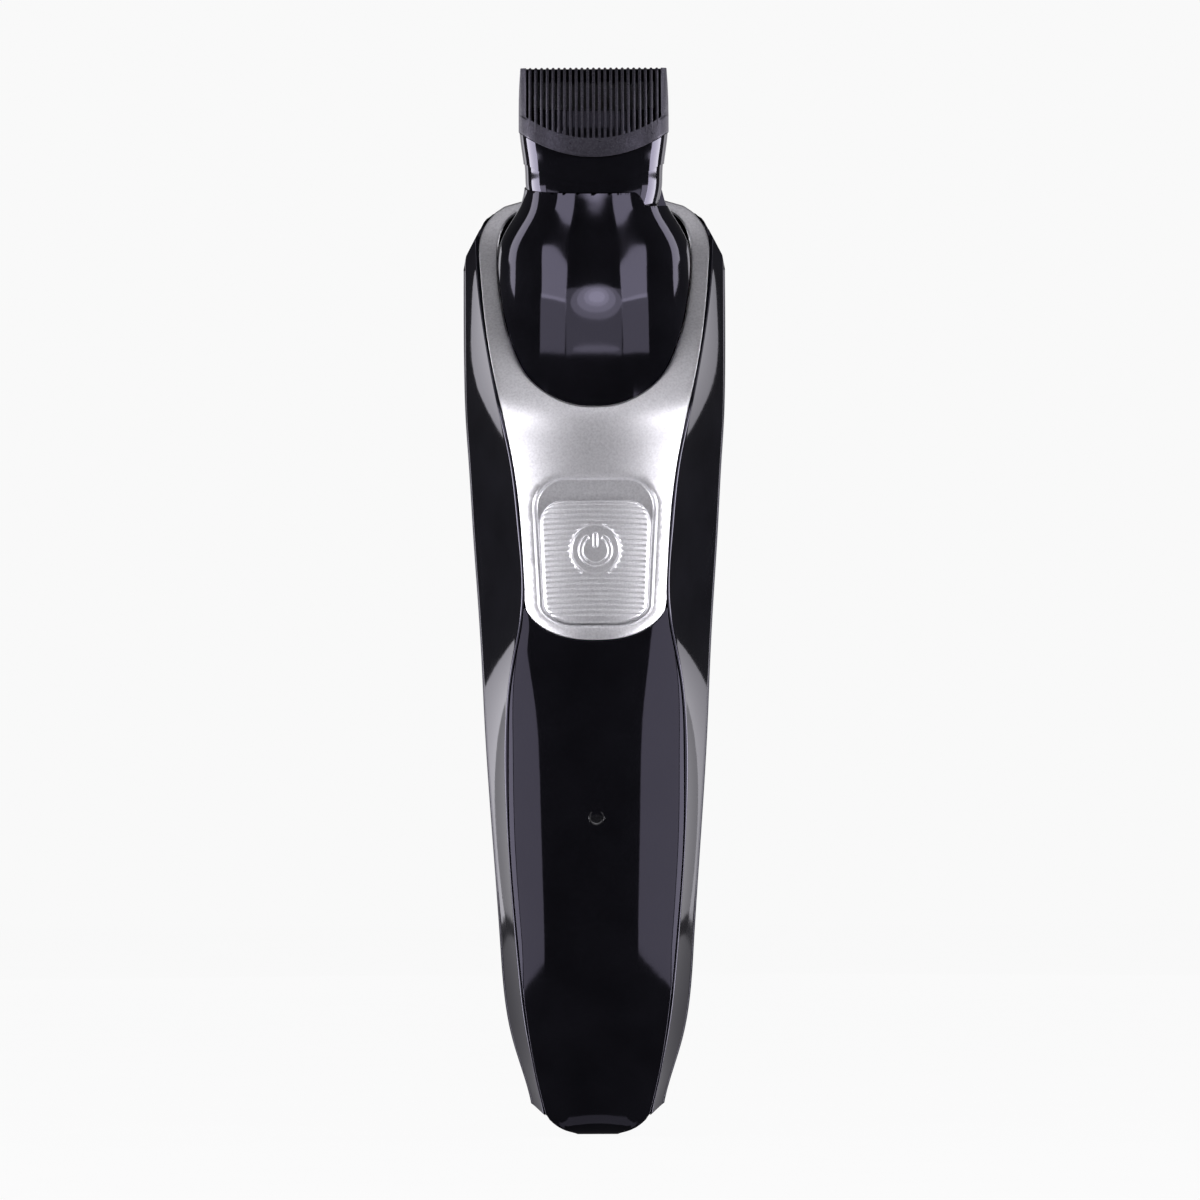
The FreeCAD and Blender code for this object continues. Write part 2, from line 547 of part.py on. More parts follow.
def motor_screw(x):
    head = cylinder(HEAD_R, V(x, 0, MOTOR_HIGH + 1.3), EZ, 1.0)
    return one_solid(head.fuse(cylinder(SCREW_R, V(x, 0, MOTOR_HIGH), EZ, 1.3)))


add("motor_screws", motor_screw(-MOTOR_SCREW_X), motor_screw(MOTOR_SCREW_X))
SHAFT_TOP = CAM_LOW + 2.6
add("motor_shaft", cylinder(SHAFT_R, V(0, 0, CAP_TOP - 0.8), EZ, SHAFT_TOP - CAP_TOP + 0.8))
cam = cylinder(CAM_R, V(0, 0, CAM_LOW), EZ, CAM_HIGH - CAM_LOW)
cam = cam.cut(cylinder(SHAFT_R, V(0, 0, CAM_LOW - 1), EZ, SHAFT_TOP - CAM_LOW + 1))
cam = cam.cut(cylinder(CAM_PIN_R, V(THROW, 0, SHAFT_TOP + 0.4), EZ, 5))
add("eccentric_cam", one_solid(cam))
add("cam_pin", cylinder(CAM_PIN_R, V(THROW, 0, SHAFT_TOP + 0.4), EZ, CAM_PIN_TOP - SHAFT_TOP - 0.4))

# ---------------------------------------------------------------- cutting head
HEAD_ROWS = (
    (147.0, 10.0, -8.4, 8.5), (149.5, 10.7, -8.6, 8.7), (151.5, 11.05, -8.7, 8.8),
    (154.0, 11.15, -8.75, 8.85), (157.0, 11.5, -8.8, 8.9), (160.5, 11.9, -8.8, 8.9), (166.0, 12.0, -8.8, 8.9),
)
COMB_ROWS = (
    (153.0, 12.0, -9.8, 9.9), (158.0, 12.0, -9.4, 9.5), (162.0, 12.0, -8.4, 8.5),
    (166.0, 11.95, -6.6, 6.8), (169.0, 11.8, -4.3, 4.7), (LENGTH, 11.7, -3.0, 3.4),
)
COMB_EDGE, CREASE_EDGE, TOOTH_EDGE = (160.2, 156.0), (155.7, 151.7), (163.4, 158.9)


def above_arc(edge, lift):
    """Everything above an arc that sags from the sides to the middle of the front."""
    side, centre = edge[0] + lift, edge[1] + lift
    arc = Part.Arc(V(-12.0, 0, side), V(0, 0, centre), V(12.0, 0, side)).toShape()
    edges = [arc, line(V(12.0, 0, side), V(20, 0, side + 3)), line(V(20, 0, side + 3), V(20, 0, 190))]
    edges += [line(V(20, 0, 190), V(-20, 0, 190)), line(V(-20, 0, 190), V(-20, 0, side + 3))]
    edges.append(line(V(-20, 0, side + 3), V(-12.0, 0, side)))
    return across(Part.Wire(Part.__sortEdges__(edges)), -FAR, FAR)


SLEEVE_TOP = 163.5


def head_shell():
    lower = loft_rows(HEAD_ROWS, 0, 2.6).common(above_arc(CREASE_EDGE, 0)).cut(above_arc(COMB_EDGE, -0.15))
    sleeve = loft_rows(COMB_ROWS, COMB_WALL + 0.2, 3.0).common(above_arc(CREASE_EDGE, 0))
    shell = lower.fuse(sleeve.common(box(-20, 20, -20, 20, 150, SLEEVE_TOP)))
    hollow = loft_rows(COMB_ROWS, COMB_WALL + 1.5, 3.0).common(box(-20, 20, -20, 20, 150, SLEEVE_TOP - 1.2))
    collar = loft_rows([r for r in HEAD_ROWS if r[0] > 149], 1.3, 2.6).common(box(-20, 20, -20, 20, 149, 156))
    shell = shell.cut(hollow).cut(collar).common(above_tilt(GAP))
    return shell.cut(box(-8.6, 8.6, -1.9, 3.4, 160, 170))


def head_base():
    """Lower ring of the head, keyed to the neck, with the floor that carries the drive."""
    rows = [r for r in HEAD_ROWS if r[0] > 149]
    floor = box(-20, 20, -20, 20, 152.6, 153.8)
    core = loft_rows(rows, 2.0, 2.6).common(floor)
    base = loft_rows(HEAD_ROWS, 0.15, 2.6).common(above_tilt(GAP).fuse(notch(GAP)))
    base = base.cut(loft_rows(rows, 1.5, 2.6).cut(floor)).cut(above_arc(CREASE_EDGE, 0).cut(core))
    base = base.cut(box(-4.7, 4.7, -3.2, 3.2, 150, 156))
    for y in (-6.8, 5.6):
        base = base.fuse(box(-2.5, 2.5, y, y + 1.2, 146.6, 153.0))
    base = base.fuse(box(-2.2, 2.2, -5.4, -1.7, 153.2, 160.4))
    base = base.fuse(box(-6.5, 6.5, BLADE_Y + 0.8, BLADE_Y + 2.2, 153.2, 162.2))
    base = base.cut(cylinder(PIVOT_R, V(0, -5.4, PIVOT_Z), EY, 4.0))
    for x in (-BLADE_SCREW_X, BLADE_SCREW_X):
        base = base.cut(cylinder(0.7, V(x, 0, BLADE_SCREW_Z), EY, 4.6))
    return base


BLADE_SCREW_X, BLADE_SCREW_Z, STEM_LOW = 4.4, 158.2, 155.4


def toothed_blade(half, low, high, y0, y1, depth, stem):
    """Steel plate with cutting teeth along its upper edge, and a narrower stem below."""
    plate = box(-half, half, y0, y1, low, high)
    if stem:
        plate = plate.fuse(box(-stem, stem, y0, y1, STEM_LOW, low))
    pitch, slot = 1.3, 0.5
    count = int((2 * half - 1.0) / pitch)
    for i in range(count):
        x = (i - (count - 1) / 2) * pitch
        plate = plate.cut(box(x - slot / 2, x + slot / 2, y0 - 1, y1 + 1, high - depth, high + 1))
    return plate


fixed = toothed_blade(9.75, 164.2, BLADE_TOP, BLADE_Y, BLADE_Y + 0.8, 2.0, 6.4)
for x in (-BLADE_SCREW_X, BLADE_SCREW_X):
    fixed = fixed.cut(cylinder(0.7, V(x, 0, BLADE_SCREW_Z), EY, 6))
add("head_shell", one_solid(head_shell()))
add("head_base", one_solid(head_base()))
add("fixed_blade", one_solid(fixed))


def blade_screw(x):
    head = cylinder(1.25, V(x, BLADE_Y - 0.8, BLADE_SCREW_Z), EY, 0.8)
    return one_solid(head.fuse(cylinder(0.7, V(x, BLADE_Y, BLADE_SCREW_Z), EY, 2.2)))


add("blade_screws", blade_screw(-BLADE_SCREW_X), blade_screw(BLADE_SCREW_X))
spring = box(-6.2, 6.2, BLADE_Y - 1.1, BLADE_Y - 0.8, 157.4, 159.4)
for x in (-6.2, 4.6):
    spring = spring.fuse(box(x, x + 1.6, BLADE_Y - 1.1, BLADE_Y - 0.8, 159.4, 165.2))
add("blade_spring", one_solid(spring))
pin = cylinder(PIVOT_R, V(0, -4.6, PIVOT_Z), EY, 4.9)
add("lever_pin", one_solid(pin.fuse(cylinder(1.3, V(0, 0.05, PIVOT_Z), EY, 0.5))))


def drive_lever():
    """Fork round the cam pin below the pivot, and a peg in the blade carrier above it."""
    y0, y1 = -1.6, -0.05
    lever = cylinder(2.3, V(0, y0, PIVOT_Z), EY, y1 - y0)
    lever = lever.fuse(box(-1.2, 1.2, y0, y1, PIVOT_Z, PIVOT_Z + BLADE_ARM + 1.1))
    lever = lever.fuse(box(-3.6, 3.6, y0, y1, 154.5, 156.4))
    for x in (-3.6, 2.5):
        lever = lever.fuse(box(x, x + 1.1, y0, 2.0, 151.9, 154.6))
    lever = lever.fuse(cylinder(0.7, V(0, y1, PIVOT_Z + BLADE_ARM), EY, 1.0))
    return lever.cut(cylinder(PIVOT_R + RUNNING, V(0, -3, PIVOT_Z), EY, 4))


add("drive_lever", one_solid(drive_lever()))
moving = toothed_blade(8.0, 163.6, BLADE_TOP - 0.3, BLADE_Y - 0.72, BLADE_Y - 0.02, 2.0, None)
add("moving_blade", one_solid(moving))
carrier = box(-3.2, 3.2, 0.15, BLADE_Y - 0.72, 161.2, 165.4)
PEG_Z = PIVOT_Z + BLADE_ARM
add("blade_carrier", one_solid(carrier.cut(box(-0.75, 0.75, -1, 3, PEG_Z - 1.0, PEG_Z + 1.0))))


# ---------------------------------------------------------------- comb guard
def comb_guard():
    """Slots run through the front and the tips; the back is a plain wall that joins the teeth."""
    comb = loft_rows(COMB_ROWS, 0, 3.0).common(above_arc(COMB_EDGE, 0))
    hollow = loft_rows(COMB_ROWS, COMB_WALL, 3.0).common(box(-20, 20, -20, 20, 150, BLADE_TOP + 0.7))
    comb = comb.cut(hollow)
    behind = loft_rows(COMB_ROWS, COMB_WALL + 0.05, 3.0).common(box(-20, 20, -0.5, 20, BLADE_TOP, 180))
    first = -(TOOTH_COUNT - 2) / 2 * TOOTH_PITCH
    middles = [first + i * TOOTH_PITCH for i in range(TOOTH_COUNT - 1)]
    front = [box(x - TOOTH_GAP / 2, x + TOOTH_GAP / 2, -20, 0, 150, 180) for x in middles]
    back = [box(x - TOOTH_GAP / 2, x + TOOTH_GAP / 2, -0.5, 20, 150, 180) for x in middles]
    comb = comb.cut(Part.makeCompound(front).common(above_arc(TOOTH_EDGE, 0)))
    return comb.cut(Part.makeCompound(back).common(behind))


add("comb_guard", one_solid(comb_guard()))

# ---------------------------------------------------------------- write the parts
os.makedirs("parts", exist_ok=True)
for name, shape in PARTS.items():
    shape.exportStep("parts/%s.step" % name)
    print("%-22s %2d solid(s) %9.1f mm3 valid %s" % (name, len(shape.Solids), shape.Volume, shape.isValid()))
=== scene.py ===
import json
import math

import bmesh
import bpy
import numpy as np
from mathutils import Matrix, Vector
from mathutils.geometry import delaunay_2d_cdt


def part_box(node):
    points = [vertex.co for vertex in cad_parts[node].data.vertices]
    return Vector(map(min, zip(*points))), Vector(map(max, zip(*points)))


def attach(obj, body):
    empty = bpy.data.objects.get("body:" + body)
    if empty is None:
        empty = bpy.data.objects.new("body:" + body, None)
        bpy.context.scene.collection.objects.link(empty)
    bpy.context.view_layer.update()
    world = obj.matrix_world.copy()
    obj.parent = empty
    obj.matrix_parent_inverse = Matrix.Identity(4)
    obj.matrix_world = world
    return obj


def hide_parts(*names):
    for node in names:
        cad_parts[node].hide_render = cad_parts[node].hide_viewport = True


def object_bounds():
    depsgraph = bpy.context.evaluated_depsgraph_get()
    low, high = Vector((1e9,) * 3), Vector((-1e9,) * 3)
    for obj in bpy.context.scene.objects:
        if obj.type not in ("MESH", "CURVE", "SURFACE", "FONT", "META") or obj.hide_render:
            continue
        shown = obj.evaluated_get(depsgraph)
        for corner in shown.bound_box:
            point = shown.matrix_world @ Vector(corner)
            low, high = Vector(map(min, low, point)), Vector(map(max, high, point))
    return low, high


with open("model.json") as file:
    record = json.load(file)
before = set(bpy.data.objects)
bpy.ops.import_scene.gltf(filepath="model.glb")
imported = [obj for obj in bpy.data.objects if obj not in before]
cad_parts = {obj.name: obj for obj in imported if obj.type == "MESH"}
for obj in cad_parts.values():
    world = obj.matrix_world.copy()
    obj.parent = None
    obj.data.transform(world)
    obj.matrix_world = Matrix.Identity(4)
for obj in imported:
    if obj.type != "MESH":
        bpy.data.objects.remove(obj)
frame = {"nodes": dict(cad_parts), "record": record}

CAD_LOW, CAD_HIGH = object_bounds()
MM = 0.001

# ---------------------------------------------------------------- body form, in millimetres, as in the CAD
# height, half width, seam half width, front, crown drop, parting, back
STATIONS = (
    (-3.0, 10.0, 7.4, -6.0, 1.2, 0.0, 6.4),
    (5.0, 10.7, 8.7, -8.2, 1.8, 0.0, 9.2),
    (15.0, 13.6, 10.8, -10.0, 2.4, 0.2, 11.8),
    (30.0, 15.5, 12.6, -12.0, 3.2, 0.5, 14.4),
    (50.0, 16.9, 14.0, -13.8, 3.8, 0.8, 16.6),
    (66.0, 17.9, 14.1, -14.7, 3.6, 1.0, 17.7),
    (75.0, 18.3, 13.1, -15.0, 2.7, 1.0, 18.2),
    (84.0, 18.8, 11.5, -15.2, 1.8, 1.0, 18.4),
    (96.0, 19.6, 11.9, -15.2, 1.6, 1.0, 18.5),
    (108.0, 20.3, 13.3, -15.0, 1.8, 1.5, 18.4),
    (114.0, 20.7, 14.6, -14.4, 1.9, 2.0, 18.3),
    (120.0, 20.9, 15.9, -11.8, 1.8, 3.0, 18.1),
    (132.0, 21.0, 17.9, -2.4, 1.2, 6.0, 17.6),
    (138.0, 21.0, 18.5, 2.5, 1.0, 8.3, 17.3),
    (144.0, 21.0, 18.7, 7.2, 0.9, 10.8, 16.9),
    (152.0, 21.0, 18.9, 12.0, 0.8, 13.8, 16.2),
)
SEAM, CREST, CREASE = 0.12, 0.35, 0.4
WALL = 1.3                                  # how far a visible edge is carried down into its seam
PARTING_GAP = 0.045


def rounded(a, corner, b, steps):
    """Rows or points that turn a corner, as a quadratic curve from a to b."""
    return [a * (1 - t) ** 2 + corner * 2 * t * (1 - t) + b * t * t for t in steps]


def natural_spline(xs, ys):
    """Smooth curve through points; ys may have several columns."""
    xs, ys = np.asarray(xs, float), np.asarray(ys, float)
    flat = ys.ndim == 1
    ys = ys[:, None] if flat else ys
    n, h = len(xs), np.diff(xs)
    a, b = np.eye(n), np.zeros_like(ys)
    for i in range(1, n - 1):
        a[i, i - 1], a[i, i], a[i, i + 1] = h[i - 1], 2 * (h[i - 1] + h[i]), h[i]
        b[i] = 6 * ((ys[i + 1] - ys[i]) / h[i] - (ys[i] - ys[i - 1]) / h[i - 1])
    m = np.linalg.solve(a, b)

    def at(x):
        x = np.clip(np.asarray(x, float), xs[0], xs[-1])
        i = np.clip(np.searchsorted(xs, x, side="right") - 1, 0, n - 2)
        t, u, w = (x - xs[i])[..., None], (xs[i + 1] - x)[..., None], h[i][..., None]
        out = (m[i] * u**3 + m[i + 1] * t**3) / (6 * w)
        out += (ys[i] / w - m[i] * w / 6) * u + (ys[i + 1] / w - m[i + 1] * w / 6) * t
        return out[..., 0] if flat else out

    return at


station_at = natural_spline([s[0] for s in STATIONS], [s[1:] for s in STATIONS])


def front_y(x, z):
    """The crowned front face."""
    v = station_at(z)
    crest, front, drop = v[..., 1] + CREST, v[..., 2], v[..., 3]
    radius = (crest**2 + drop**2) / (2 * drop)
    return front + radius - np.sqrt(np.maximum(radius**2 - np.asarray(x) ** 2, 0.01))


# half widths of the seam round both inlays, from the foot to the tips of the horseshoe
SEAM_POINTS = ((3.0, 8.3), (7.0, 9.3), (18.0, 11.3), (34.0, 13.0), (48.0, 13.95), (62.0, 14.05), (71.5, 13.6),
               (80.4, 12.0), (86.0, 11.35), (89.0, 11.45), (98.0, 12.0), (107.0, 13.1), (114.8, 14.7),
               (122.5, 16.4), (131.0, 17.7), (139.0, 18.4), (144.6, 18.0), (146.4, 17.0), (148.3, 15.2))
seam_x = natural_spline([p[0] for p in SEAM_POINTS], [p[1] for p in SEAM_POINTS])
# silhouette of the shoulders and of the foot: half width, height
SHOULDER = ((0.0, 150.5), (4.0, 150.4), (8.0, 150.1), (11.3, 149.5), (14.4, 148.6), (17.5, 146.5),
            (20.6, 140.6), (21.4, 136.0))
FOOT = ((0.0, 0.0), (3.3, 0.0), (4.3, 0.2), (5.2, 0.5), (6.1, 0.95), (6.9, 1.5), (7.6, 2.15), (8.3, 3.0),
        (10.6, 4.8))
FOOT_FRONT = ((0.0, -4.4), (0.4, -5.5), (1.1, -6.6), (2.2, -7.7), (3.6, -8.6), (6.0, -9.8), (9.0, -11.0),
              (16.0, -13.6), (30.0, -18.0))
FOOT_BACK = ((0.0, 4.6), (0.5, 5.9), (1.2, 7.0), (2.4, 8.2), (4.0, 9.2), (6.3, 10.6), (9.0, 12.0), (16.0, 15.2),
             (30.0, 20.0))


def table(rows, value):
    return np.interp(value, [r[0] for r in rows], [r[1] for r in rows])


def top_z(x):
    return table(SHOULDER, np.abs(x))


def foot_z(x):
    return table(FOOT, np.abs(x))


def soft_max(a, b, k):
    """The larger of two values, blended over a width of k."""
    return 0.5 * (a + b + np.sqrt((a - b) ** 2 + k * k))


def soft_min(a, b, k):
    return 0.5 * (a + b - np.sqrt((a - b) ** 2 + k * k))


def face_y(x, z):
    """Front of the housing, with the foot rounded back."""
    y = front_y(x, z)
    return np.where(np.asarray(z) < 14.0, soft_max(y, table(FOOT_FRONT, z), 0.35), y)


# ---------------------------------------------------------------- mesh helpers
def make_object(name, points, faces, sharp=None, flip=False):
    """Mesh object from points in millimetres, smooth but for edges sharper than the given angle."""
    mesh = bpy.data.meshes.new(name)
    mesh.from_pydata([tuple(float(c) * MM for c in p) for p in points], [], [tuple(map(int, f)) for f in faces])
    obj = bpy.data.objects.new(name, mesh)
    bpy.context.scene.collection.objects.link(obj)
    return weld(obj, sharp, flip)


def weld(obj, sharp=None, flip=False):
    """Joins points that coincide, turns the faces outward and marks the edges that stay sharp."""
    bm = bmesh.new()
    bm.from_mesh(obj.data)
    bmesh.ops.remove_doubles(bm, verts=bm.verts, dist=0.003 * MM)
    bmesh.ops.dissolve_degenerate(bm, edges=bm.edges, dist=0.0005 * MM)
    bmesh.ops.recalc_face_normals(bm, faces=bm.faces)
    if flip:
        bmesh.ops.reverse_faces(bm, faces=bm.faces)
    for f in bm.faces:
        f.smooth = True
    for e in bm.edges:
        e.smooth = not (sharp and len(e.link_faces) == 2 and e.calc_face_angle(0.0) > math.radians(sharp))
    bm.to_mesh(obj.data)
    bm.free()
    return obj


def grid_faces(rows, cols, closed=False, start=0):
    faces = []
    for r in range(rows - 1):
        for c in range(cols if closed else cols - 1):
            d = (c + 1) % cols
            a = start + r * cols
            faces.append((a + c, a + d, a + cols + d, a + cols + c))
    return faces


def grid_object(name, grid, closed=False, sharp=None, flip=False):
    grid = np.asarray(grid, float)
    return make_object(name, grid.reshape(-1, 3), grid_faces(grid.shape[0], grid.shape[1], closed), sharp, flip)


def join(name, objects):
    """Several objects as one; the separate ones are removed."""
    bm = bmesh.new()
    for o in objects:
        bm.from_mesh(o.data)
    mesh = bpy.data.meshes.new(name)
    bm.to_mesh(mesh)
    bm.free()
    for o in objects:
        old = o.data
        bpy.data.objects.remove(o)
        bpy.data.meshes.remove(old)
    obj = bpy.data.objects.new(name, mesh)
    bpy.context.scene.collection.objects.link(obj)
    return obj


def mirrored(obj, name):
    """A copy of the object on the other side of the YZ plane."""
    copy = bpy.data.objects.new(name, obj.data.copy())
    bpy.context.scene.collection.objects.link(copy)
    for v in copy.data.vertices:
        v.co.x = -v.co.x
    copy.data.flip_normals()
    return copy


def straight(a, b):
    a, b = np.asarray(a, float), np.asarray(b, float)
    return lambda t: a + (b - a) * t


def bow(a, b, rise):
    """Shallow arc from a to b; rise is its height to the left of the chord, over the chord."""
    a, b = np.asarray(a, float), np.asarray(b, float)
    c = (a + b) / 2 + np.array([a[1] - b[1], b[0] - a[0]]) * 2 * rise
    return lambda t: rounded(a, c, b, [t])[0]


def chain(curves, radii, counts, arc=4):
    """Points along curves joined end to end, with the corners between them rounded."""
    out = []
    for k, curve in enumerate(curves):
        length = max(np.linalg.norm(curve(1.0) - curve(0.0)), 1e-6)
        a = min(radii[k - 1] / length, 0.45) if k else 0.0
        b = 1.0 - (min(radii[k] / length, 0.45) if k < len(curves) - 1 else 0.0)
        if k:
            out += rounded(out[-1], curve(0.0), curve(a), np.linspace(0, 1, arc + 2)[1:-1])
        out += [curve(t) for t in np.linspace(a, b, counts[k])]
    return np.array(out)


# ---------------------------------------------------------------- side frame and rear shell
TABLE_Z = np.linspace(0.0, 151.0, 303)


def frame_section(z):
    """Right half of the frame, from the seam of the inlays round to the parting."""
    half, seam, front, drop, parting, _ = station_at(z)
    sx = float(seam_x(max(z, 3.0))) + SEAM * 0.5
    x1, y1 = seam + CREST, front + drop
    x1 = max(x1, sx + 0.15)
    sy = float(front_y(sx, z))
    x2, y2 = half - CREASE, parting - 0.6
    edge = half - CREASE / 2
    end = parting - PARTING_GAP
    curves = [straight((sx, sy + WALL), (sx, sy)), straight((sx, sy), (x1, y1)), bow((x1, y1), (x2, y2), 0.012),
              straight((x2, y2), (edge, end)), straight((edge, end), (edge - 0.6, end))]
    return chain(curves, [0.09, 0.3, 0.3, 0.07], [3, 3, 22, 3, 2], 5)


def rear_section(z):
    """Right half of the rear shell, from the parting round to the middle of the back."""
    half, _, _, _, parting, back = station_at(z)
    edge, start = half - CREASE / 2, parting + PARTING_GAP
    depth = back - parting - 0.6

    def spline(t):
        a = math.pi / 2 * t
        return np.array([half * max(math.cos(a), 0.0) ** 0.85, parting + 0.6 + depth * math.sin(a) ** 0.95])

    curves = [straight((edge - 0.6, start), (edge, start)), straight((edge, start), (half, parting + 0.6))]
    rim = chain(curves, [0.07], [2, 3], 5)
    return np.vstack([rim, [spline(t) for t in np.linspace(0, 1, 42)[1:]]])


def clamp_y(y, z, front):
    low = np.asarray(z) < 14.0
    edge = soft_max(y, table(FOOT_FRONT, z), 0.35) if front else soft_min(y, table(FOOT_BACK, z), 0.35)
    return np.where(low, edge, y)


def shell_rows(section, front, rows=170):
    """Grid of a shell's outer face, each column running from the foot's outline to the shoulders'."""
    tab = np.array([section(z) for z in TABLE_Z])
    cols = tab.shape[1]
    ts = 0.5 - 0.5 * np.cos(np.linspace(0, math.pi, rows))
    ts = 0.35 * ts + 0.65 * np.linspace(0, 1, rows)
    grid = np.zeros((rows, cols, 3))
    for j in range(cols):
        x_at = tab[:, j, 0]
        inside = (TABLE_Z >= foot_z(x_at)) & (TABLE_Z <= top_z(x_at))
        k = np.nonzero(inside)[0]
        ends = []
        for i, o, edge in ((k[0], k[0] - 1, foot_z), (k[-1], k[-1] + 1, top_z)):
            if o < 0:
                ends.append(float(edge(x_at[i])))
                continue
            f = [TABLE_Z[q] - float(edge(x_at[q])) for q in (i, o)]
            ends.append(TABLE_Z[i] + (TABLE_Z[o] - TABLE_Z[i]) * f[0] / (f[0] - f[1]))
        z = ends[0] + (ends[1] - ends[0]) * ts
        grid[:, j, 0] = np.interp(z, TABLE_Z, x_at)
        grid[:, j, 1] = clamp_y(np.interp(z, TABLE_Z, tab[:, j, 1]), z, front)
        grid[:, j, 2] = z
    return grid


def roll_rows(edge, before, target, radius, steps=5):
    """Rows that turn an edge over from the face to a wall running towards target, all in Y."""
    reach = np.abs(target - edge[:, 1])
    r = np.minimum(radius, 0.45 * reach)[:, None]
    back = before - edge
    back = back / np.maximum(np.linalg.norm(back, axis=1), 1e-6)[:, None] * r
    ahead = np.zeros_like(edge)
    ahead[:, 1] = np.sign(target - edge[:, 1]) * r[:, 0]
    return rounded(edge + back, edge, edge + ahead, np.linspace(0, 1, steps))


def capped(grid, target_at, radius, top=True):
    """Adds the rounded edge and the flat wall over the shoulders, or under the foot."""
    g = grid if top else grid[::-1]
    edge, before = g[-1], g[-3]
    target = target_at(edge)
    rows = roll_rows(edge, before, target, radius)
    last = rows[-1]
    end = last.copy()
    end[:, 1] = target
    g = np.concatenate([g[:-1], rows, [last + (end - last) * t for t in np.linspace(0, 1, 7)[1:]]])
    return g if top else g[::-1]


def parting_y(z):
    return station_at(z)[..., 4]


def front_frame():
    grid = shell_rows(frame_section, True)
    grid = capped(grid, lambda e: parting_y(e[:, 2]) - PARTING_GAP, 0.22)
    grid = capped(grid, lambda e: parting_y(e[:, 2]) - PARTING_GAP, 0.22, top=False)
    right = grid_object("frame_right", grid, sharp=50)
    left = mirrored(right, "frame_left")
    xs = np.linspace(-16.2, 16.2, 81)
    zs = top_z(xs) - 0.02
    near, far = np.c_[xs, front_y(xs, zs) + WALL, zs], np.c_[xs, parting_y(zs) - PARTING_GAP, zs]
    arch = grid_object("frame_arch", [near, (near + far) / 2, far])
    return join("front_frame_shell", [right, left, arch])


SOCKET_R = 3.02


def socket_edge(edge):
    """Where the underside of the foot ends: at the parting, or round the charging socket."""
    socket = np.sqrt(np.maximum(SOCKET_R**2 - edge[:, 0] ** 2, 0))
    return np.maximum(parting_y(edge[:, 2]) + PARTING_GAP, socket)


def rear_shell():
    grid = shell_rows(rear_section, False)
    grid = capped(grid, lambda e: parting_y(e[:, 2]) + PARTING_GAP, 0.3)
    grid = capped(grid, socket_edge, 0.3, top=False)
    right = grid_object("rear_right", grid, sharp=50)
    left = mirrored(right, "rear_left")
    return weld(join("rear_shell_skin", [right, left]), sharp=50)


# ---------------------------------------------------------------- front panel
def panel_top(x):
    return panel_edge(np.minimum(np.abs(x), 11.3)) - SEAM


def panel_edge(x):
    """Height of the seam between the panel and the faceplate's foot."""
    run = np.minimum(np.abs(x), 12.0) / 12.2
    return 78.95 + 10.0 * (1 - (1 - run**2.4) ** (1 / 2.4))


def front_panel():
    """Black inlay below the faceplate, its border rolled over into the seam."""
    cols, rows, r = 81, 190, 0.11
    us = np.sin(np.linspace(-1, 1, cols) * 1.35) / math.sin(1.35)
    vs = np.linspace(0, 1, rows)
    vs = np.unique(np.concatenate([vs, [0.002, 0.006, 0.992, 0.996, 0.999]]))
    grid = np.zeros((len(vs), cols, 3))
    for i, v in enumerate(vs):
        x, z = us * 11.0, np.full(cols, 79.0 * v)
        for _ in range(40):
            wide = np.where(z > 3.0, seam_x(np.maximum(z, 3.0)), np.interp(z, [f[1] for f in FOOT[1:]],
                                                                          [f[0] for f in FOOT[1:]]))
            x = us * (wide - SEAM * 0.5)
            z = 0.5 * z + 0.5 * (foot_z(x) + v * (panel_top(x) - foot_z(x)))
        turn = np.clip((np.abs(x) - wide + 1.5) / 1.5, 0, 1) ** 2 * np.clip((z - 14.0) / 16.0, 0, 1)
        grid[i] = np.c_[x, face_y(x, z) + 0.2 * turn * np.clip((panel_top(x) - z) / 3.0, 0, 1), z]
    face = inset_border(grid, r)
    return rolled_sheet("front_panel_skin", face, grid, r)


def border(rows, cols):
    """Indices round the outside of a grid."""
    loop = [(0, c) for c in range(cols)] + [(r, cols - 1) for r in range(1, rows)]
    return loop + [(rows - 1, c) for c in range(cols - 2, -1, -1)] + [(r, 0) for r in range(rows - 2, 0, -1)]


def inset_border(grid, r):
    """The same grid with its outermost points drawn in by r, towards their neighbours."""
    g = grid.copy()
    for here, near in ((0, 1), (-1, -2)):
        for ax in (0, 1):
            a = np.take(g, here, ax)
            d = np.take(g, near, ax) - a
            d = d / np.maximum(np.linalg.norm(d, axis=-1, keepdims=True), 1e-6)
            if ax == 0:
                g[here] = a + d * r
            else:
                g[:, here] = a + d * r
    return g


def rolled_sheet(name, face, outline, r):
    """Face grid with its border turned over by radius r and carried down the seam."""
    loop = border(face.shape[0], face.shape[1])
    a = np.array([face[i, j] for i, j in loop])
    c = np.array([outline[i, j] for i, j in loop])
    rows = rounded(a, c, c + [0, r, 0], np.linspace(0, 1, 5)) + [c + [0, WALL, 0]]
    rim = grid_object(name + "_rim", rows, closed=True)
    return weld(join(name, [grid_object(name + "_face", face), rim]), sharp=60)


# ---------------------------------------------------------------- sheets cut to an outline
def outward(loop):
    """Unit normals of a closed 2-D loop, pointing out of it."""
    p = np.asarray(loop)
    d = np.roll(p, -1, 0) - np.roll(p, 1, 0)
    n = np.c_[d[:, 1], -d[:, 0]] / np.maximum(np.linalg.norm(d, axis=1), 1e-9)[:, None]
    x, y = p[:, 0], p[:, 1]
    area = 0.5 * np.sum(x * np.roll(y, -1) - np.roll(x, -1) * y)
    return n if area > 0 else -n


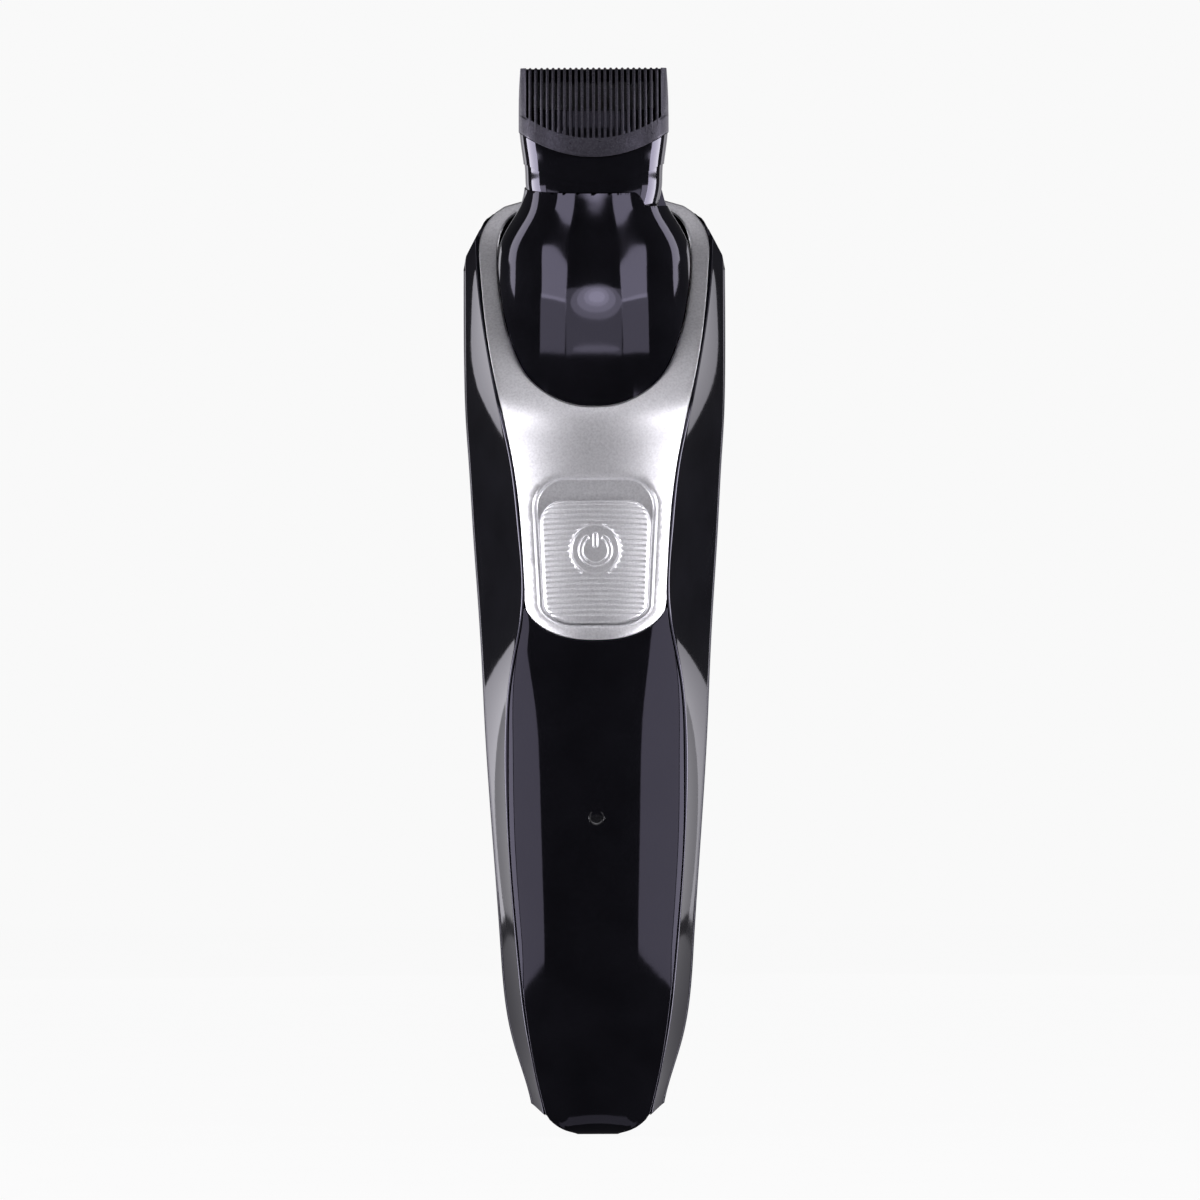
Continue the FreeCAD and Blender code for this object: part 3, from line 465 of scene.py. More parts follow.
def resample(loop, step):
    """The same closed loop with points about step apart."""
    p = np.vstack([loop, loop[:1]])
    s = np.concatenate([[0], np.cumsum(np.linalg.norm(np.diff(p, axis=0), axis=1))])
    n = max(int(s[-1] / step), 12)
    t = np.linspace(0, s[-1], n, endpoint=False)
    return np.c_[np.interp(t, s, p[:, 0]), np.interp(t, s, p[:, 1])]


def fill(outer, holes, pitch):
    """2-D points and triangles of the area inside outer and outside the holes."""
    loops = [np.asarray(outer)] + [np.asarray(h) for h in holes]
    points, edges = [], []
    for loop in loops:
        start = len(points)
        points += [tuple(p) for p in loop]
        edges += [(start + i, start + (i + 1) % len(loop)) for i in range(len(loop))]
    low, high = loops[0].min(0), loops[0].max(0)
    edge_points = np.array(points)
    row = 0
    y = low[1] + pitch
    while y < high[1]:
        xs = np.arange(low[0] + pitch * (0.5 if row % 2 else 1.0), high[0], pitch)
        for x in xs:
            clear = np.min(np.sum((edge_points - (x, y)) ** 2, axis=1)) > (0.6 * pitch) ** 2
            if clear and inside((x, y), loops):
                points.append((x, y))
        y += pitch * 0.87
        row += 1
    out = delaunay_2d_cdt([Vector(p) for p in points], edges, [], 0, 1e-5)
    verts = [(v.x, v.y) for v in out[0]]
    faces = []
    for f in out[2]:
        c = np.mean([verts[i] for i in f], axis=0)
        if inside(c, loops):
            faces.append(tuple(f))
    return verts, faces


def inside(p, loops):
    x, y = p
    hit = False
    for loop in loops:
        a, b = loop, np.roll(loop, -1, 0)
        cross = (a[:, 1] > y) != (b[:, 1] > y)
        with np.errstate(divide="ignore", invalid="ignore"):
            at = a[:, 0] + (y - a[:, 1]) * (b[:, 0] - a[:, 0]) / (b[:, 1] - a[:, 1])
        hit ^= bool(np.count_nonzero(cross & (x < at)) % 2)
    return hit


def rim_rows(loop, n, profile, lift):
    """Closed rows along a loop: profile holds (shift along n, drop below the face) pairs."""
    rows = []
    for shift, drop in profile:
        p = loop + n * shift
        rows.append(np.c_[p[:, 0], lift(p[:, 0], p[:, 1]) + drop, p[:, 1]])
    return rows


# ---------------------------------------------------------------- silver faceplate
SWITCH = dict(top=9.6, foot=8.8, z0=81.3, z1=104.8, r=4.8)
BUTTON = dict(top=8.9, foot=8.3, z0=81.6, z1=101.2, r=3.9)
RECESS_Y = -13.2


def thumb_outline(top, foot, z0, z1, r, step=0.25):
    """Closed outline of the recess or of the button in XZ, anticlockwise from the middle of its foot."""
    run, rise = 0.64 * foot, 3.4
    a = np.linspace(0, math.pi / 2, 14)
    low = np.c_[foot - run + run * np.sin(a), z0 + rise - rise * np.cos(a)]
    high = np.c_[top - r + r * np.cos(a), z1 - r + r * np.sin(a)]
    right = np.vstack([[(0.0, z0)], low, high, [(0.0, z1)]])
    left = right[-2:0:-1] * [-1, 1]
    return resample(np.vstack([right, left]), step)


EGG = ((0.0, 116.2), (3.3, 116.5), (6.3, 117.6), (8.9, 119.3), (10.9, 121.4), (12.6, 124.6), (13.9, 128.4),
       (14.7, 132.0), (15.2, 135.6), (15.45, 138.8), (15.4, 141.6), (15.0, 144.0), (14.2, 145.8), (12.8, 147.2),
       (10.6, 148.0), (5.5, 148.6), (0.0, 148.8))


def smooth_loop(points, step):
    """Smooth closed loop through points given for the right half only, from the foot up."""
    p = np.array(points)
    full = np.vstack([p, p[-2:0:-1] * [-1, 1], p[:1]])
    s = np.concatenate([[0], np.cumsum(np.linalg.norm(np.diff(full, axis=0), axis=1))])
    wrap = np.vstack([full[-4:-1], full, full[1:4]])
    sw = np.concatenate([s[-4:-1] - s[-1], s, s[1:4] + s[-1]])
    f = natural_spline(sw, wrap)
    return f(np.linspace(0, s[-1], max(int(s[-1] / step), 12), endpoint=False))


def plate_outline(step=0.3):
    """Outline of the faceplate: its foot, the flanks, and the shoulders' silhouette on top."""
    foot = [(x, float(panel_edge(x))) for x in np.linspace(0, 11.3, 40)]
    side = [(float(seam_x(z)) - SEAM * 0.5, z) for z in np.linspace(85.4, 147.3, 150)]
    arch = [(x, float(top_z(x))) for x in np.linspace(side[-1][0] - 0.35, 0, 50)]
    right = np.array(foot[:-1] + side + arch)
    return resample(np.vstack([right, right[-2:0:-1] * [-1, 1]]), step)


def silver_faceplate():
    r = 0.2
    outer, egg, hole = plate_outline(), smooth_loop(EGG, 0.28), thumb_outline(**SWITCH)
    n_outer, n_egg, n_hole = outward(outer), outward(egg), outward(hole)
    inner = [outer - n_outer * r, egg + n_egg * 0.3, hole + n_hole * 0.46]
    verts, faces = fill(inner[0], inner[1:], 0.75)
    v = np.array(verts)
    parts = [make_object("plate_face", np.c_[v[:, 0], front_y(v[:, 0], v[:, 1]), v[:, 1]], faces)]
    quarter = [(r * (1 - math.sin(a)), r * (1 - math.cos(a))) for a in np.linspace(0, math.pi / 2, 5)]
    edge_rows = rim_rows(outer, -n_outer, quarter + [(0, WALL)], front_y)
    parts.append(grid_object("plate_edge", edge_rows, closed=True))
    egg_rim = [(0.3, 0), (0.27, 0.012), (0.24, 0.04), (0.06, 0.22), (0.02, 0.27), (0, 0.33), (0, 2.6)]
    parts.append(grid_object("plate_egg", rim_rows(egg, n_egg, egg_rim, front_y), closed=True))
    hole_rim = [(0.46, 0), (0.43, 0.01), (0.40, 0.03), (0.10, 0.26), (0.04, 0.31), (0.0, 0.38)]
    rows = rim_rows(hole, n_hole, hole_rim, front_y)
    start = rows[-1]
    for t in np.linspace(0, 1, 12)[1:]:
        shift = 0.5 * (1 - math.cos(t * math.pi / 2))
        p = hole - n_hole * shift
        level = start[:, 1] + (RECESS_Y - start[:, 1]) * math.sin(t * math.pi / 2)
        rows.append(np.c_[p[:, 0], level, p[:, 1]])
    parts.append(grid_object("plate_well", rows, closed=True))
    floor = hole - n_hole * 0.5
    fv, ff = fill(floor, [], 1.2)
    fv = np.array(fv)
    parts.append(make_object("plate_floor", np.c_[fv[:, 0], np.full(len(fv), RECESS_Y), fv[:, 1]], ff))
    return weld(join("silver_faceplate_skin", parts), sharp=75)


# ---------------------------------------------------------------- neck and head
NECK_ROWS = ((110.0, 16.4, -13.3, 11.0), (116.0, 16.4, -13.4, 11.0), (122.0, 16.3, -13.5, 11.0),
             (128.0, 16.1, -13.2, 11.0), (133.0, 15.9, -12.6, 11.0), (138.0, 15.6, -11.5, 11.0),
             (142.5, 15.0, -10.3, 10.8), (145.5, 13.5, -9.55, 10.3), (148.0, 12.0, -9.0, 9.6),
             (151.0, 11.15, -8.4, 9.0), (156.0, 11.1, -7.6, 8.8))
HEAD_ROWS = ((147.0, 10.0, -8.4, 8.5), (149.5, 10.7, -8.6, 8.7), (151.5, 11.05, -8.7, 8.8),
             (154.0, 11.15, -8.75, 8.85), (157.0, 11.5, -8.8, 8.9), (160.5, 11.9, -8.8, 8.9),
             (166.0, 12.0, -8.8, 8.9))
COMB_ROWS = ((153.0, 12.0, -9.8, 9.9), (158.0, 12.0, -9.4, 9.5), (162.0, 12.0, -8.4, 8.5),
             (166.0, 11.95, -6.6, 6.8), (169.0, 11.8, -4.3, 4.7), (170.4, 11.7, -3.0, 3.4))
NECK_POWER, HEAD_POWER, COMB_POWER = 2.2, 2.6, 3.0
TILT = math.tan(math.radians(7.4))
NECK_TOP, NOTCH_BACK = 151.2, 3.0
DECK_Z, SHAFT_HOLE_R = 148.75, 4.4
GAP = 0.12
COMB_EDGE, CREASE_EDGE, TOOTH_EDGE = (160.2, 156.0), (155.7, 151.7), (163.4, 158.9)


def rows_at(rows):
    f = natural_spline([r[0] for r in rows], [r[1:] for r in rows])
    return lambda z: tuple(f(z)[..., k] for k in range(3))


neck_at, head_at, comb_at = rows_at(NECK_ROWS), rows_at(HEAD_ROWS), rows_at(COMB_ROWS)


def ring_xy(at, power, z, angle, inset=0.0):
    """Point of a section at height z; angle 0 is the right side and -pi/2 the middle of the front."""
    a, front, back = at(z)
    a, front, back = a - inset, front + inset, back - inset
    mid, b = (front + back) / 2, (back - front) / 2
    c, s = np.cos(angle), np.sin(angle)
    x = a * np.sign(c) * np.abs(c) ** (2 / power)
    y = mid + b * np.sign(s) * np.abs(s) ** (2 / power)
    return x, y


def sag(edge, x):
    """Height of an arc through (+-12, edge[0]) and (0, edge[1])."""
    rise = edge[0] - edge[1]
    r = (144.0 + rise**2) / (2 * rise)
    return edge[1] + r - np.sqrt(r * r - np.minimum(np.abs(x), 12.6) ** 2)


def notch_z(x):
    """Floor of the step in the neck's rim, falling from the rim's level on its inner side."""
    curve_x = np.array([5.6, 6.3, 6.9, 7.4, 7.75, 8.0, 8.15, 8.3])
    curve_z = np.array([150.55, 150.35, 150.0, 149.5, 149.0, 148.5, 148.2, 148.05])
    return np.where(x < 8.3, np.interp(x, curve_x, curve_z), 148.05 + (x - 8.3) * 0.075)


def rim_z(x, y):
    """Height of the tilted joint between neck and head, with the step at the right front."""
    z = NECK_TOP + y * TILT
    return np.where((x > 5.6) & (y < NOTCH_BACK), np.minimum(z, notch_z(x)), z)


def ring_angles():
    """Angles round the neck, closer together at the step in the rim."""
    base = np.linspace(-math.pi, math.pi, 161)[:-1]
    return np.unique(np.concatenate([base, np.linspace(-1.25, -0.55, 60)]))


def fitted_ring(at, power, low, high, rows, inset=0.0, angles=None):
    """Grid of a section surface between two heights that depend on the place round it."""
    angles = ring_angles() if angles is None else angles
    ends, grid = [], []
    for edge in (low, high):
        z = np.full(len(angles), 152.0)
        for _ in range(30):
            z = edge(*ring_xy(at, power, z, angles, inset))
        ends.append(z)
    for t in np.linspace(0, 1, rows):
        z = ends[0] + (ends[1] - ends[0]) * t
        x, y = ring_xy(at, power, z, angles, inset)
        grid.append(np.c_[x, y, z])
    return np.array(grid)


def inward_rows(edge, profile):
    """Rows that carry a ring's edge inward: profile holds (distance inward, change of height)."""
    flat = edge[:, :2]
    out = flat / np.linalg.norm(flat, axis=1, keepdims=True)
    return [np.c_[flat - out * inward, edge[:, 2] + rise] for inward, rise in profile]


def egg_x(z):
    """Half width of the faceplate's opening at height z."""
    pts = smooth_loop(EGG, 0.2)
    right = pts[pts[:, 0] > 0]
    right = right[(right[:, 1] < 144.5)]
    right = right[np.argsort(right[:, 1])]
    return np.interp(z, right[:, 1], right[:, 0])


def neck_bell():
    """Glossy bell: its flared foot is cut to the faceplate's opening, its rim to the head's joint."""
    front = np.unique(np.concatenate([np.linspace(-math.pi, 0, 97), np.linspace(-1.25, -0.55, 60)]))
    back = np.linspace(0, math.pi, 81)
    z_low = 116.36
    z_top = np.full(len(front), 150.0)
    for _ in range(30):
        z_top = rim_z(*ring_xy(neck_at, NECK_POWER, z_top, front))
    ts = np.concatenate([np.linspace(0, 0.04, 8)[:-1], np.linspace(0.04, 1, 100)])
    grid = []
    for t in ts:
        z = z_low + (z_top - z_low) * t
        a, f, b = neck_at(z)
        x, y = ring_xy(neck_at, NECK_POWER, z, front)
        limit = np.where(z < 143.0, np.minimum(egg_x(z) - 0.15, a), a)
        x = x * limit / a
        mid, depth = (f + b) / 2, (b - f) / 2
        y = mid - depth * np.maximum(1 - np.abs(x / a) ** NECK_POWER, 0) ** (1 / NECK_POWER)
        grid.append(np.c_[x, y, z])
    grid = np.array(grid)
    # wall down into the opening, along both sides
    wall_l, wall_r = grid[:, :1].copy(), grid[:, -1:].copy()
    for w in (wall_l, wall_r):
        w[:, :, 1] = np.maximum(w[:, :, 1], np.minimum(w[:, :, 1] + 3.0, 1.1))
    grid = np.concatenate([wall_l, grid, wall_r], axis=1)
    skin = [grid_object("neck_front", grid)]
    rows = fitted_ring(neck_at, NECK_POWER, lambda x, y: np.full_like(x, 140.0), rim_z, 40, angles=back)
    skin.append(grid_object("neck_back", rows))
    ring = fitted_ring(neck_at, NECK_POWER, lambda x, y: rim_z(x, y) - 0.5, rim_z, 2)[-1]
    profile = [(0.03, -0.05), (0.09, -0.01), (0.16, 0.0), (1.3, 0.0), (1.42, -0.04), (1.48, -0.15), (1.5, -3.1)]
    lip = [ring] + inward_rows(ring, profile)
    skin.append(grid_object("neck_lip", lip, closed=True))
    inner = lip[-1]
    deck = inner.copy()
    deck[:, 2] = DECK_Z
    turn = np.arctan2(inner[:, 1], inner[:, 0])
    hole = np.c_[SHAFT_HOLE_R * np.cos(turn), SHAFT_HOLE_R * np.sin(turn), np.full(len(turn), DECK_Z)]
    skin.append(grid_object("neck_deck", [inner, deck, hole, hole - [0, 0, 1.2]], closed=True))
    return weld(join("neck_bell_skin", skin), sharp=50)


def head_base():
    """Lower ring of the head with the lug that drops into the step."""
    low = lambda x, y: rim_z(x, y) + GAP
    high = lambda x, y: np.maximum(sag(CREASE_EDGE, x), rim_z(x, y) + GAP + 0.02)
    grid = fitted_ring(head_at, HEAD_POWER, low, high, 28, inset=0.15)
    top = inward_rows(grid[-1], [(0.25, 0.02), (0.9, 0.02)])
    foot = inward_rows(grid[0], [(0.05, 0.0), (1.5, 0.0), (1.55, 2.0)])
    grid = np.concatenate([np.array(foot[::-1]), grid, np.array(top)])
    return grid_object("head_base_skin", grid, closed=True, sharp=50)


def head_shell():
    """Upper shell of the head, standing proud of the base along the crease."""
    crease = lambda x, y: np.maximum(sag(CREASE_EDGE, x), NECK_TOP + y * TILT + GAP)
    comb = lambda x, y: sag(COMB_EDGE, x) - 0.12
    grid = fitted_ring(head_at, HEAD_POWER, crease, comb, 26)
    foot = inward_rows(grid[0], [(0.02, 0.0), (0.5, 0.02)])
    edge = inward_rows(grid[-1], [(0.04, 0.03), (0.1, 0.04), (1.1, 0.04)])
    sleeve = fitted_ring(comb_at, COMB_POWER, comb, lambda x, y: np.full_like(x, 163.5), 14, inset=1.05)
    lip = inward_rows(sleeve[-1], [(0.1, 0.05), (1.2, 0.05), (1.3, -0.1), (1.35, -1.2)])
    deck = np.array([[p[0] * 0.05, p[1] * 0.05, 162.3] for p in lip[-1]])
    grid = np.concatenate([np.array(foot[::-1]), grid, np.array(edge), sleeve, np.array(lip), deck[None]])
    return grid_object("head_shell_skin", grid, closed=True, sharp=50)


# ---------------------------------------------------------------- comb guard
TOOTH_COUNT, TOOTH_PITCH, COMB_WALL = 25, 0.92, 0.85
COMB_TOP = 170.4


def comb_y(x, z, sign, inset=0.0):
    """Front (sign -1) or back (sign 1) of the comb's skin over x."""
    a, front, back = comb_at(z)
    a, front, back = a - inset, front + inset, back - inset
    mid, b = (front + back) / 2, (back - front) / 2
    return mid + sign * b * np.maximum(1 - np.abs(np.asarray(x) / a) ** COMB_POWER, 0) ** (1 / COMB_POWER)


def comb_tooth(k, half=0.24, bevel=0.15):
    """One arched tooth: up the front, over the top and down the back, with its outer edges bevelled."""
    x = (k - (TOOTH_COUNT - 1) / 2) * TOOTH_PITCH
    low = float(sag(TOOTH_EDGE, x)) - 0.9
    zs = np.concatenate([np.linspace(low, 166.0, 9)[:-1], np.linspace(166.0, COMB_TOP - 0.3, 10)])
    outer = [(float(comb_y(x, z, -1)) + 0.01, z) for z in zs]
    y0, y1 = float(comb_y(x, COMB_TOP, -1)), float(comb_y(x, COMB_TOP, 1))
    outer += [(y0 + 0.12, COMB_TOP - 0.06), (y0 + 0.4, COMB_TOP)]
    outer += [(y1 - 0.4, COMB_TOP), (y1 - 0.12, COMB_TOP - 0.06)]
    outer += [(float(comb_y(x, z, 1)) - 0.01, z) for z in zs[::-1]]
    outer = np.array(outer)
    d = np.gradient(outer, axis=0)
    n = np.c_[-d[:, 1], d[:, 0]] / np.linalg.norm(d, axis=1)[:, None]
    inside_dir = -n if np.dot(n[0], (1.0, 0.0)) < 0 else n
    fin = np.interp(outer[:, 1], [163.7, 164.6], [COMB_WALL, 2.2]) * (np.arange(len(outer)) < len(zs))
    fin = np.maximum(fin, COMB_WALL)
    shifts = [(half, fin), (half, bevel), (half - bevel, 0.0)]
    rows = []
    for sx, depth in shifts + [(-s, d2) for s, d2 in shifts[::-1]]:
        p = outer + inside_dir * np.reshape(depth * np.ones(len(outer)), (-1, 1))
        rows.append(np.c_[np.full(len(p), x + sx), p])
    return grid_object("tooth", np.array(rows + rows[:1]), sharp=25)


def comb_guard():
    gap_edge = TOOTH_PITCH * (TOOTH_COUNT - 1) / 2 - 0.25
    low, high = (lambda x, y: sag(COMB_EDGE, x)), (lambda x, y: sag(TOOTH_EDGE, x))
    turn = np.linspace(-math.pi, math.pi, 241)[:-1]
    band = fitted_ring(comb_at, COMB_POWER, low, high, 12, angles=turn)
    inner = fitted_ring(comb_at, COMB_POWER, low, high, 4, inset=COMB_WALL, angles=turn)
    foot = inward_rows(band[0], [(0.03, -0.05), (0.1, -0.08)])
    grid = np.concatenate([inner[:1], np.array(foot[::-1]), band, inner[::-1]])
    pieces = [grid_object("comb_band", grid, closed=True, sharp=40)]
    pieces += [comb_tooth(k) for k in range(1, TOOTH_COUNT - 1)]
    pieces += [comb_cheek(side, gap_edge) for side in (1, -1)]
    return join("comb_guard_skin", pieces + [comb_back(gap_edge)])


def comb_back(edge):
    """Plain wall that joins the teeth behind, from the band to just under the tips."""
    rows = []
    xs = np.linspace(-edge, edge, 47)
    low = sag(TOOTH_EDGE, xs) - 0.5
    for t in np.linspace(0, 1, 16):
        z = low + (COMB_TOP - 0.07 - low) * t
        outer = np.array([float(comb_y(x, h, 1)) - 0.02 for x, h in zip(xs, z)])
        inner = np.array([float(comb_y(x, h, 1, COMB_WALL)) for x, h in zip(xs, z)])
        rows.append(np.vstack([np.c_[xs, outer, z], np.c_[xs, inner, z][::-1]]))

    def middle(row):
        line = (row[:47] + row[47:][::-1]) / 2
        return np.vstack([line, line[::-1]])

    grid = np.array([middle(rows[0])] + rows + [middle(rows[-1])])
    return grid_object("comb_back", grid, closed=True, sharp=40, flip=True)


def comb_cheek(side, edge):
    """Closed side of the comb beyond the outermost slot."""
    rows = []
    zs = np.concatenate([np.linspace(158.6, 167.6, 14), np.linspace(167.8, COMB_TOP - 0.08, 8)])
    ts = np.linspace(-1, 1, 31)
    for z in zs:
        wide = float(comb_at(z)[0])
        angles = ts * math.acos(min((edge / wide) ** (COMB_POWER / 2), 1.0))
        x, y = ring_xy(comb_at, COMB_POWER, np.full(31, z), angles)
        xi, yi = ring_xy(comb_at, COMB_POWER, np.full(31, z), angles, COMB_WALL)
        z_low = np.maximum(z, sag(TOOTH_EDGE, x) - 0.5) if z < 164 else np.full(31, z)
        inner = np.c_[np.maximum(xi, edge), yi * 0.97, z_low]
        rows.append(np.vstack([np.c_[x - 0.004, y * 0.9995, z_low], inner[::-1]]))
    lid = rows[-1] + [-0.04, 0, 0.06]
    closing = np.r_[lid[:31], lid[:31][::-1] * [0, 1, 1] + [edge, 0, 0]]
    cheek = grid_object("cheek", np.array(rows + [lid, closing]), closed=True, sharp=40)
    if side < 0:
        flipped = mirrored(cheek, "cheek_left")
        old = cheek.data
        bpy.data.objects.remove(cheek)
        bpy.data.meshes.remove(old)
        return flipped
    return cheek


# ---------------------------------------------------------------- thumb button
BUTTON_FRONT, BUTTON_CROWN, RIB_PITCH = -15.5, 45.0, 0.84
DISC_Z, DISC_R = 93.3, 3.76


def half_at(z, top, foot, z0, z1, r):
    """Half width of the button's outline at height z."""
    run, rise = 0.64 * foot, 3.4
    mid = np.interp(z, [z0 + rise, z1 - r], [foot, top])
    high = np.clip((z - (z1 - r)) / r, 0, 1)
    low = np.clip((z0 + rise - z) / rise, 0, 1)
    return np.where(z > z1 - r, top - r + r * np.sqrt(1 - high**2),
                    np.where(z < z0 + rise, foot - run + run * np.sqrt(1 - low**2), mid))


def stroke(d, half, height):
    """Raised line with rounded shoulders, from the distance to its middle."""
    t = np.clip((half - np.abs(d)) / 0.12, 0, 1)
    return height * t * t * (3 - 2 * t)


def power_mark(x, z):
    """Height of the raised outline symbol: an open ring and an upright bar."""
    r = np.hypot(x, z)
    angle = np.abs(np.arctan2(x, z))
    opening = 0.62
    ring = np.where(angle > opening, np.abs(r - 2.34), np.hypot(r * np.sin(angle - opening),
                                                               r * np.cos(angle - opening) - 2.34))
    bar_z = np.clip(z, 0.75, 2.35)
    bar = np.hypot(x, z - bar_z)
    outline = np.minimum(np.abs(ring - 0.32), np.abs(bar - 0.34))
    return stroke(outline, 0.13, 0.09)


def button_relief(x, z):
    """Depth of the surface below the crown, plus inward."""
    r = np.hypot(x, z - DISC_Z)
    z0, z1 = BUTTON["z0"], BUTTON["z1"]
    low = (z0 + z1 - 22 * RIB_PITCH) / 2
    phase = (z - low) / RIB_PITCH
    near = np.abs(phase - np.round(phase)) * RIB_PITCH
    groove = np.exp(-((near / 0.14) ** 2)) * 0.17
    edge = np.clip((7.7 + (z - z0) * 0.03 - np.abs(x)) / 0.5, 0, 1)
    fade = edge * np.clip((r - (DISC_R + 0.45)) / 0.12, 0, 1)
    fade = fade * np.clip((z - z0 - 0.7) / 0.2, 0, 1) * np.clip((z1 - 0.5 - z) / 0.2, 0, 1)
    disc = np.clip((DISC_R - r) / 0.1, 0, 1) * 0.14
    ridge = -stroke(r - (DISC_R + 0.16), 0.17, 0.06)
    return groove * fade + disc + ridge - np.where(r < DISC_R, power_mark(x, z - DISC_Z), 0)


def switch_button():
    z0, z1 = BUTTON["z0"], BUTTON["z1"]
    close = 1.2 * (1 - np.cos(np.linspace(0, 1.5, 20)))
    zs = np.unique(np.round(np.concatenate([np.arange(z0, z1, 0.06), [z1], z0 + close, z1 - close]), 4))
    us = np.unique(np.concatenate([np.linspace(-1, 1, 61), np.linspace(-0.5, 0.5, 161)]))
    half = half_at(zs, **BUTTON)
    x = us[None, :] * half[:, None]
    z = np.repeat(zs[:, None], len(us), axis=1)
    crown = BUTTON_FRONT + BUTTON_CROWN - np.sqrt(BUTTON_CROWN**2 - x**2)
    r = 0.4
    inset = thumb_distance(x, z)
    rolled = r - np.sqrt(np.maximum(r * r - np.maximum(r - inset, 0) ** 2, 0))
    y = crown + button_relief(x, z) + rolled
    grid = np.stack([x, y, z], axis=-1)
    loop = np.array([grid[i, j] for i, j in border(len(zs), len(us))])
    skirt = loop.copy()
    skirt[:, 1] = RECESS_Y + 0.05
    rim = grid_object("button_rim", [loop, (loop + skirt) / 2, skirt], closed=True)
    return weld(join("switch_button_skin", [grid_object("button_face", grid), rim]), sharp=60)


def thumb_distance(x, z):
    """Distance from the button's outline, for points inside it."""
    loop = thumb_outline(**BUTTON, step=0.1)
    out = np.zeros_like(x)
    for i in range(x.shape[0]):
        d = (x[i][:, None] - loop[None, :, 0]) ** 2 + (z[i][:, None] - loop[None, :, 1]) ** 2
        out[i] = np.sqrt(d.min(axis=1))
    return np.where(out < 0.05, 0.0, out)


# ---------------------------------------------------------------- materials
def material(name, colour, roughness, metallic=0.0, grain=0.0, grain_size=1.0, bump=0.0, bump_size=1.0,
             rough_spread=0.03, smudge_size=12.0, tint=None, fleck=0.0, fleck_size=0.2, transmission=0.0,
             stretch=None, anisotropic=0.0):
    """Principled surface with colour, roughness and relief from procedural noise; sizes are in millimetres."""
    mat = bpy.data.materials.new(name)
    mat.use_nodes = True
    nodes, links = mat.node_tree.nodes, mat.node_tree.links
    shader = nodes["Principled BSDF"]
    shader.inputs["Metallic"].default_value = metallic
    shader.inputs["IOR"].default_value = 1.5
    shader.inputs["Transmission Weight"].default_value = transmission
    shader.inputs["Anisotropic"].default_value = anisotropic
    if tint:
        shader.inputs["Specular Tint"].default_value = (*tint, 1.0)
    place = nodes.new("ShaderNodeTexCoord")
    source = place.outputs["Object"]
    if stretch:
        turn = nodes.new("ShaderNodeMapping")
        turn.inputs["Scale"].default_value = stretch
        links.new(source, turn.inputs["Vector"])
        source = turn.outputs["Vector"]

    def noise(size, level):
        n = nodes.new("ShaderNodeTexNoise")
        n.inputs["Scale"].default_value = 1.0 / (size * MM)
        n.inputs["Detail"].default_value = level
        links.new(source, n.inputs["Vector"])
        return n.outputs["Fac"]

    def spread(fac, low, high, a=0.25, b=0.75):
        n = nodes.new("ShaderNodeMapRange")
        n.inputs["From Min"].default_value, n.inputs["From Max"].default_value = a, b
        n.inputs["To Min"].default_value, n.inputs["To Max"].default_value = low, high
        links.new(fac, n.inputs["Value"])
        return n.outputs["Result"]

    ramp = nodes.new("ShaderNodeValToRGB")
    low, high = ramp.color_ramp.elements
    low.position, high.position = 0.3, 0.7
    low.color = (*[c * (1 - grain) for c in colour], 1)
    high.color = (*[min(c * (1 + grain), 1.0) for c in colour], 1)
    links.new(noise(grain_size, 3.0), ramp.inputs["Fac"])
    tone = ramp.outputs["Color"]
    if fleck:
        cell = nodes.new("ShaderNodeTexVoronoi")
        cell.inputs["Scale"].default_value = 1.0 / (fleck_size * MM)
        links.new(source, cell.inputs["Vector"])
        split = nodes.new("ShaderNodeSeparateColor")
        links.new(cell.outputs["Color"], split.inputs["Color"])
        mix = nodes.new("ShaderNodeMix")
        mix.data_type = "RGBA"
        links.new(spread(split.outputs["Red"], 0.0, fleck, 0.55, 1.0), mix.inputs["Factor"])
        links.new(tone, mix.inputs["A"])
        mix.inputs["B"].default_value = (*[min(c * 1.5 + 0.03, 1.0) for c in colour], 1)
        tone = mix.outputs["Result"]
    links.new(tone, shader.inputs["Base Color"])
    links.new(spread(noise(smudge_size, 2.0), max(roughness - rough_spread, 0.01), roughness + rough_spread),
              shader.inputs["Roughness"])
    if bump:
        relief = nodes.new("ShaderNodeBump")
        relief.inputs["Strength"].default_value = 1.0
        relief.inputs["Distance"].default_value = bump * MM
        links.new(noise(bump_size, 2.0), relief.inputs["Height"])
        links.new(relief.outputs["Normal"], shader.inputs["Normal"])
    return mat


VIOLET = (0.80, 0.76, 1.0)
BLACK_ABS = (0.0042, 0.0042, 0.0055)
PAINT = (0.86, 0.86, 0.87)
GLOSS = material("gloss_black_abs", BLACK_ABS, 0.045, grain=0.3, grain_size=9.0, rough_spread=0.012, bump=0.004,
                 bump_size=4.0, tint=VIOLET)
GLOSS_NECK = material("gloss_black_neck", BLACK_ABS, 0.06, grain=0.3, grain_size=7.0, rough_spread=0.015,
                      bump=0.003, bump_size=3.0, tint=VIOLET)
SILVER = material("silver_satin_paint", PAINT, 0.32, metallic=0.8, grain=0.10, grain_size=0.35,
                  rough_spread=0.04, smudge_size=0.3, bump=0.010, bump_size=0.22, fleck=0.3, fleck_size=0.24)
BUTTON_SILVER = material("silver_button_paint", PAINT, 0.31, metallic=0.8, grain=0.08, grain_size=0.3,
                         smudge_size=0.3, bump=0.008, bump_size=0.2, fleck=0.25, fleck_size=0.24)
COMB = material("comb_matte_black", (0.040, 0.038, 0.046), 0.36, grain=0.25, grain_size=0.4, rough_spread=0.12,
                smudge_size=0.5, bump=0.05, bump_size=0.28, fleck=0.5, fleck_size=0.22, tint=VIOLET)
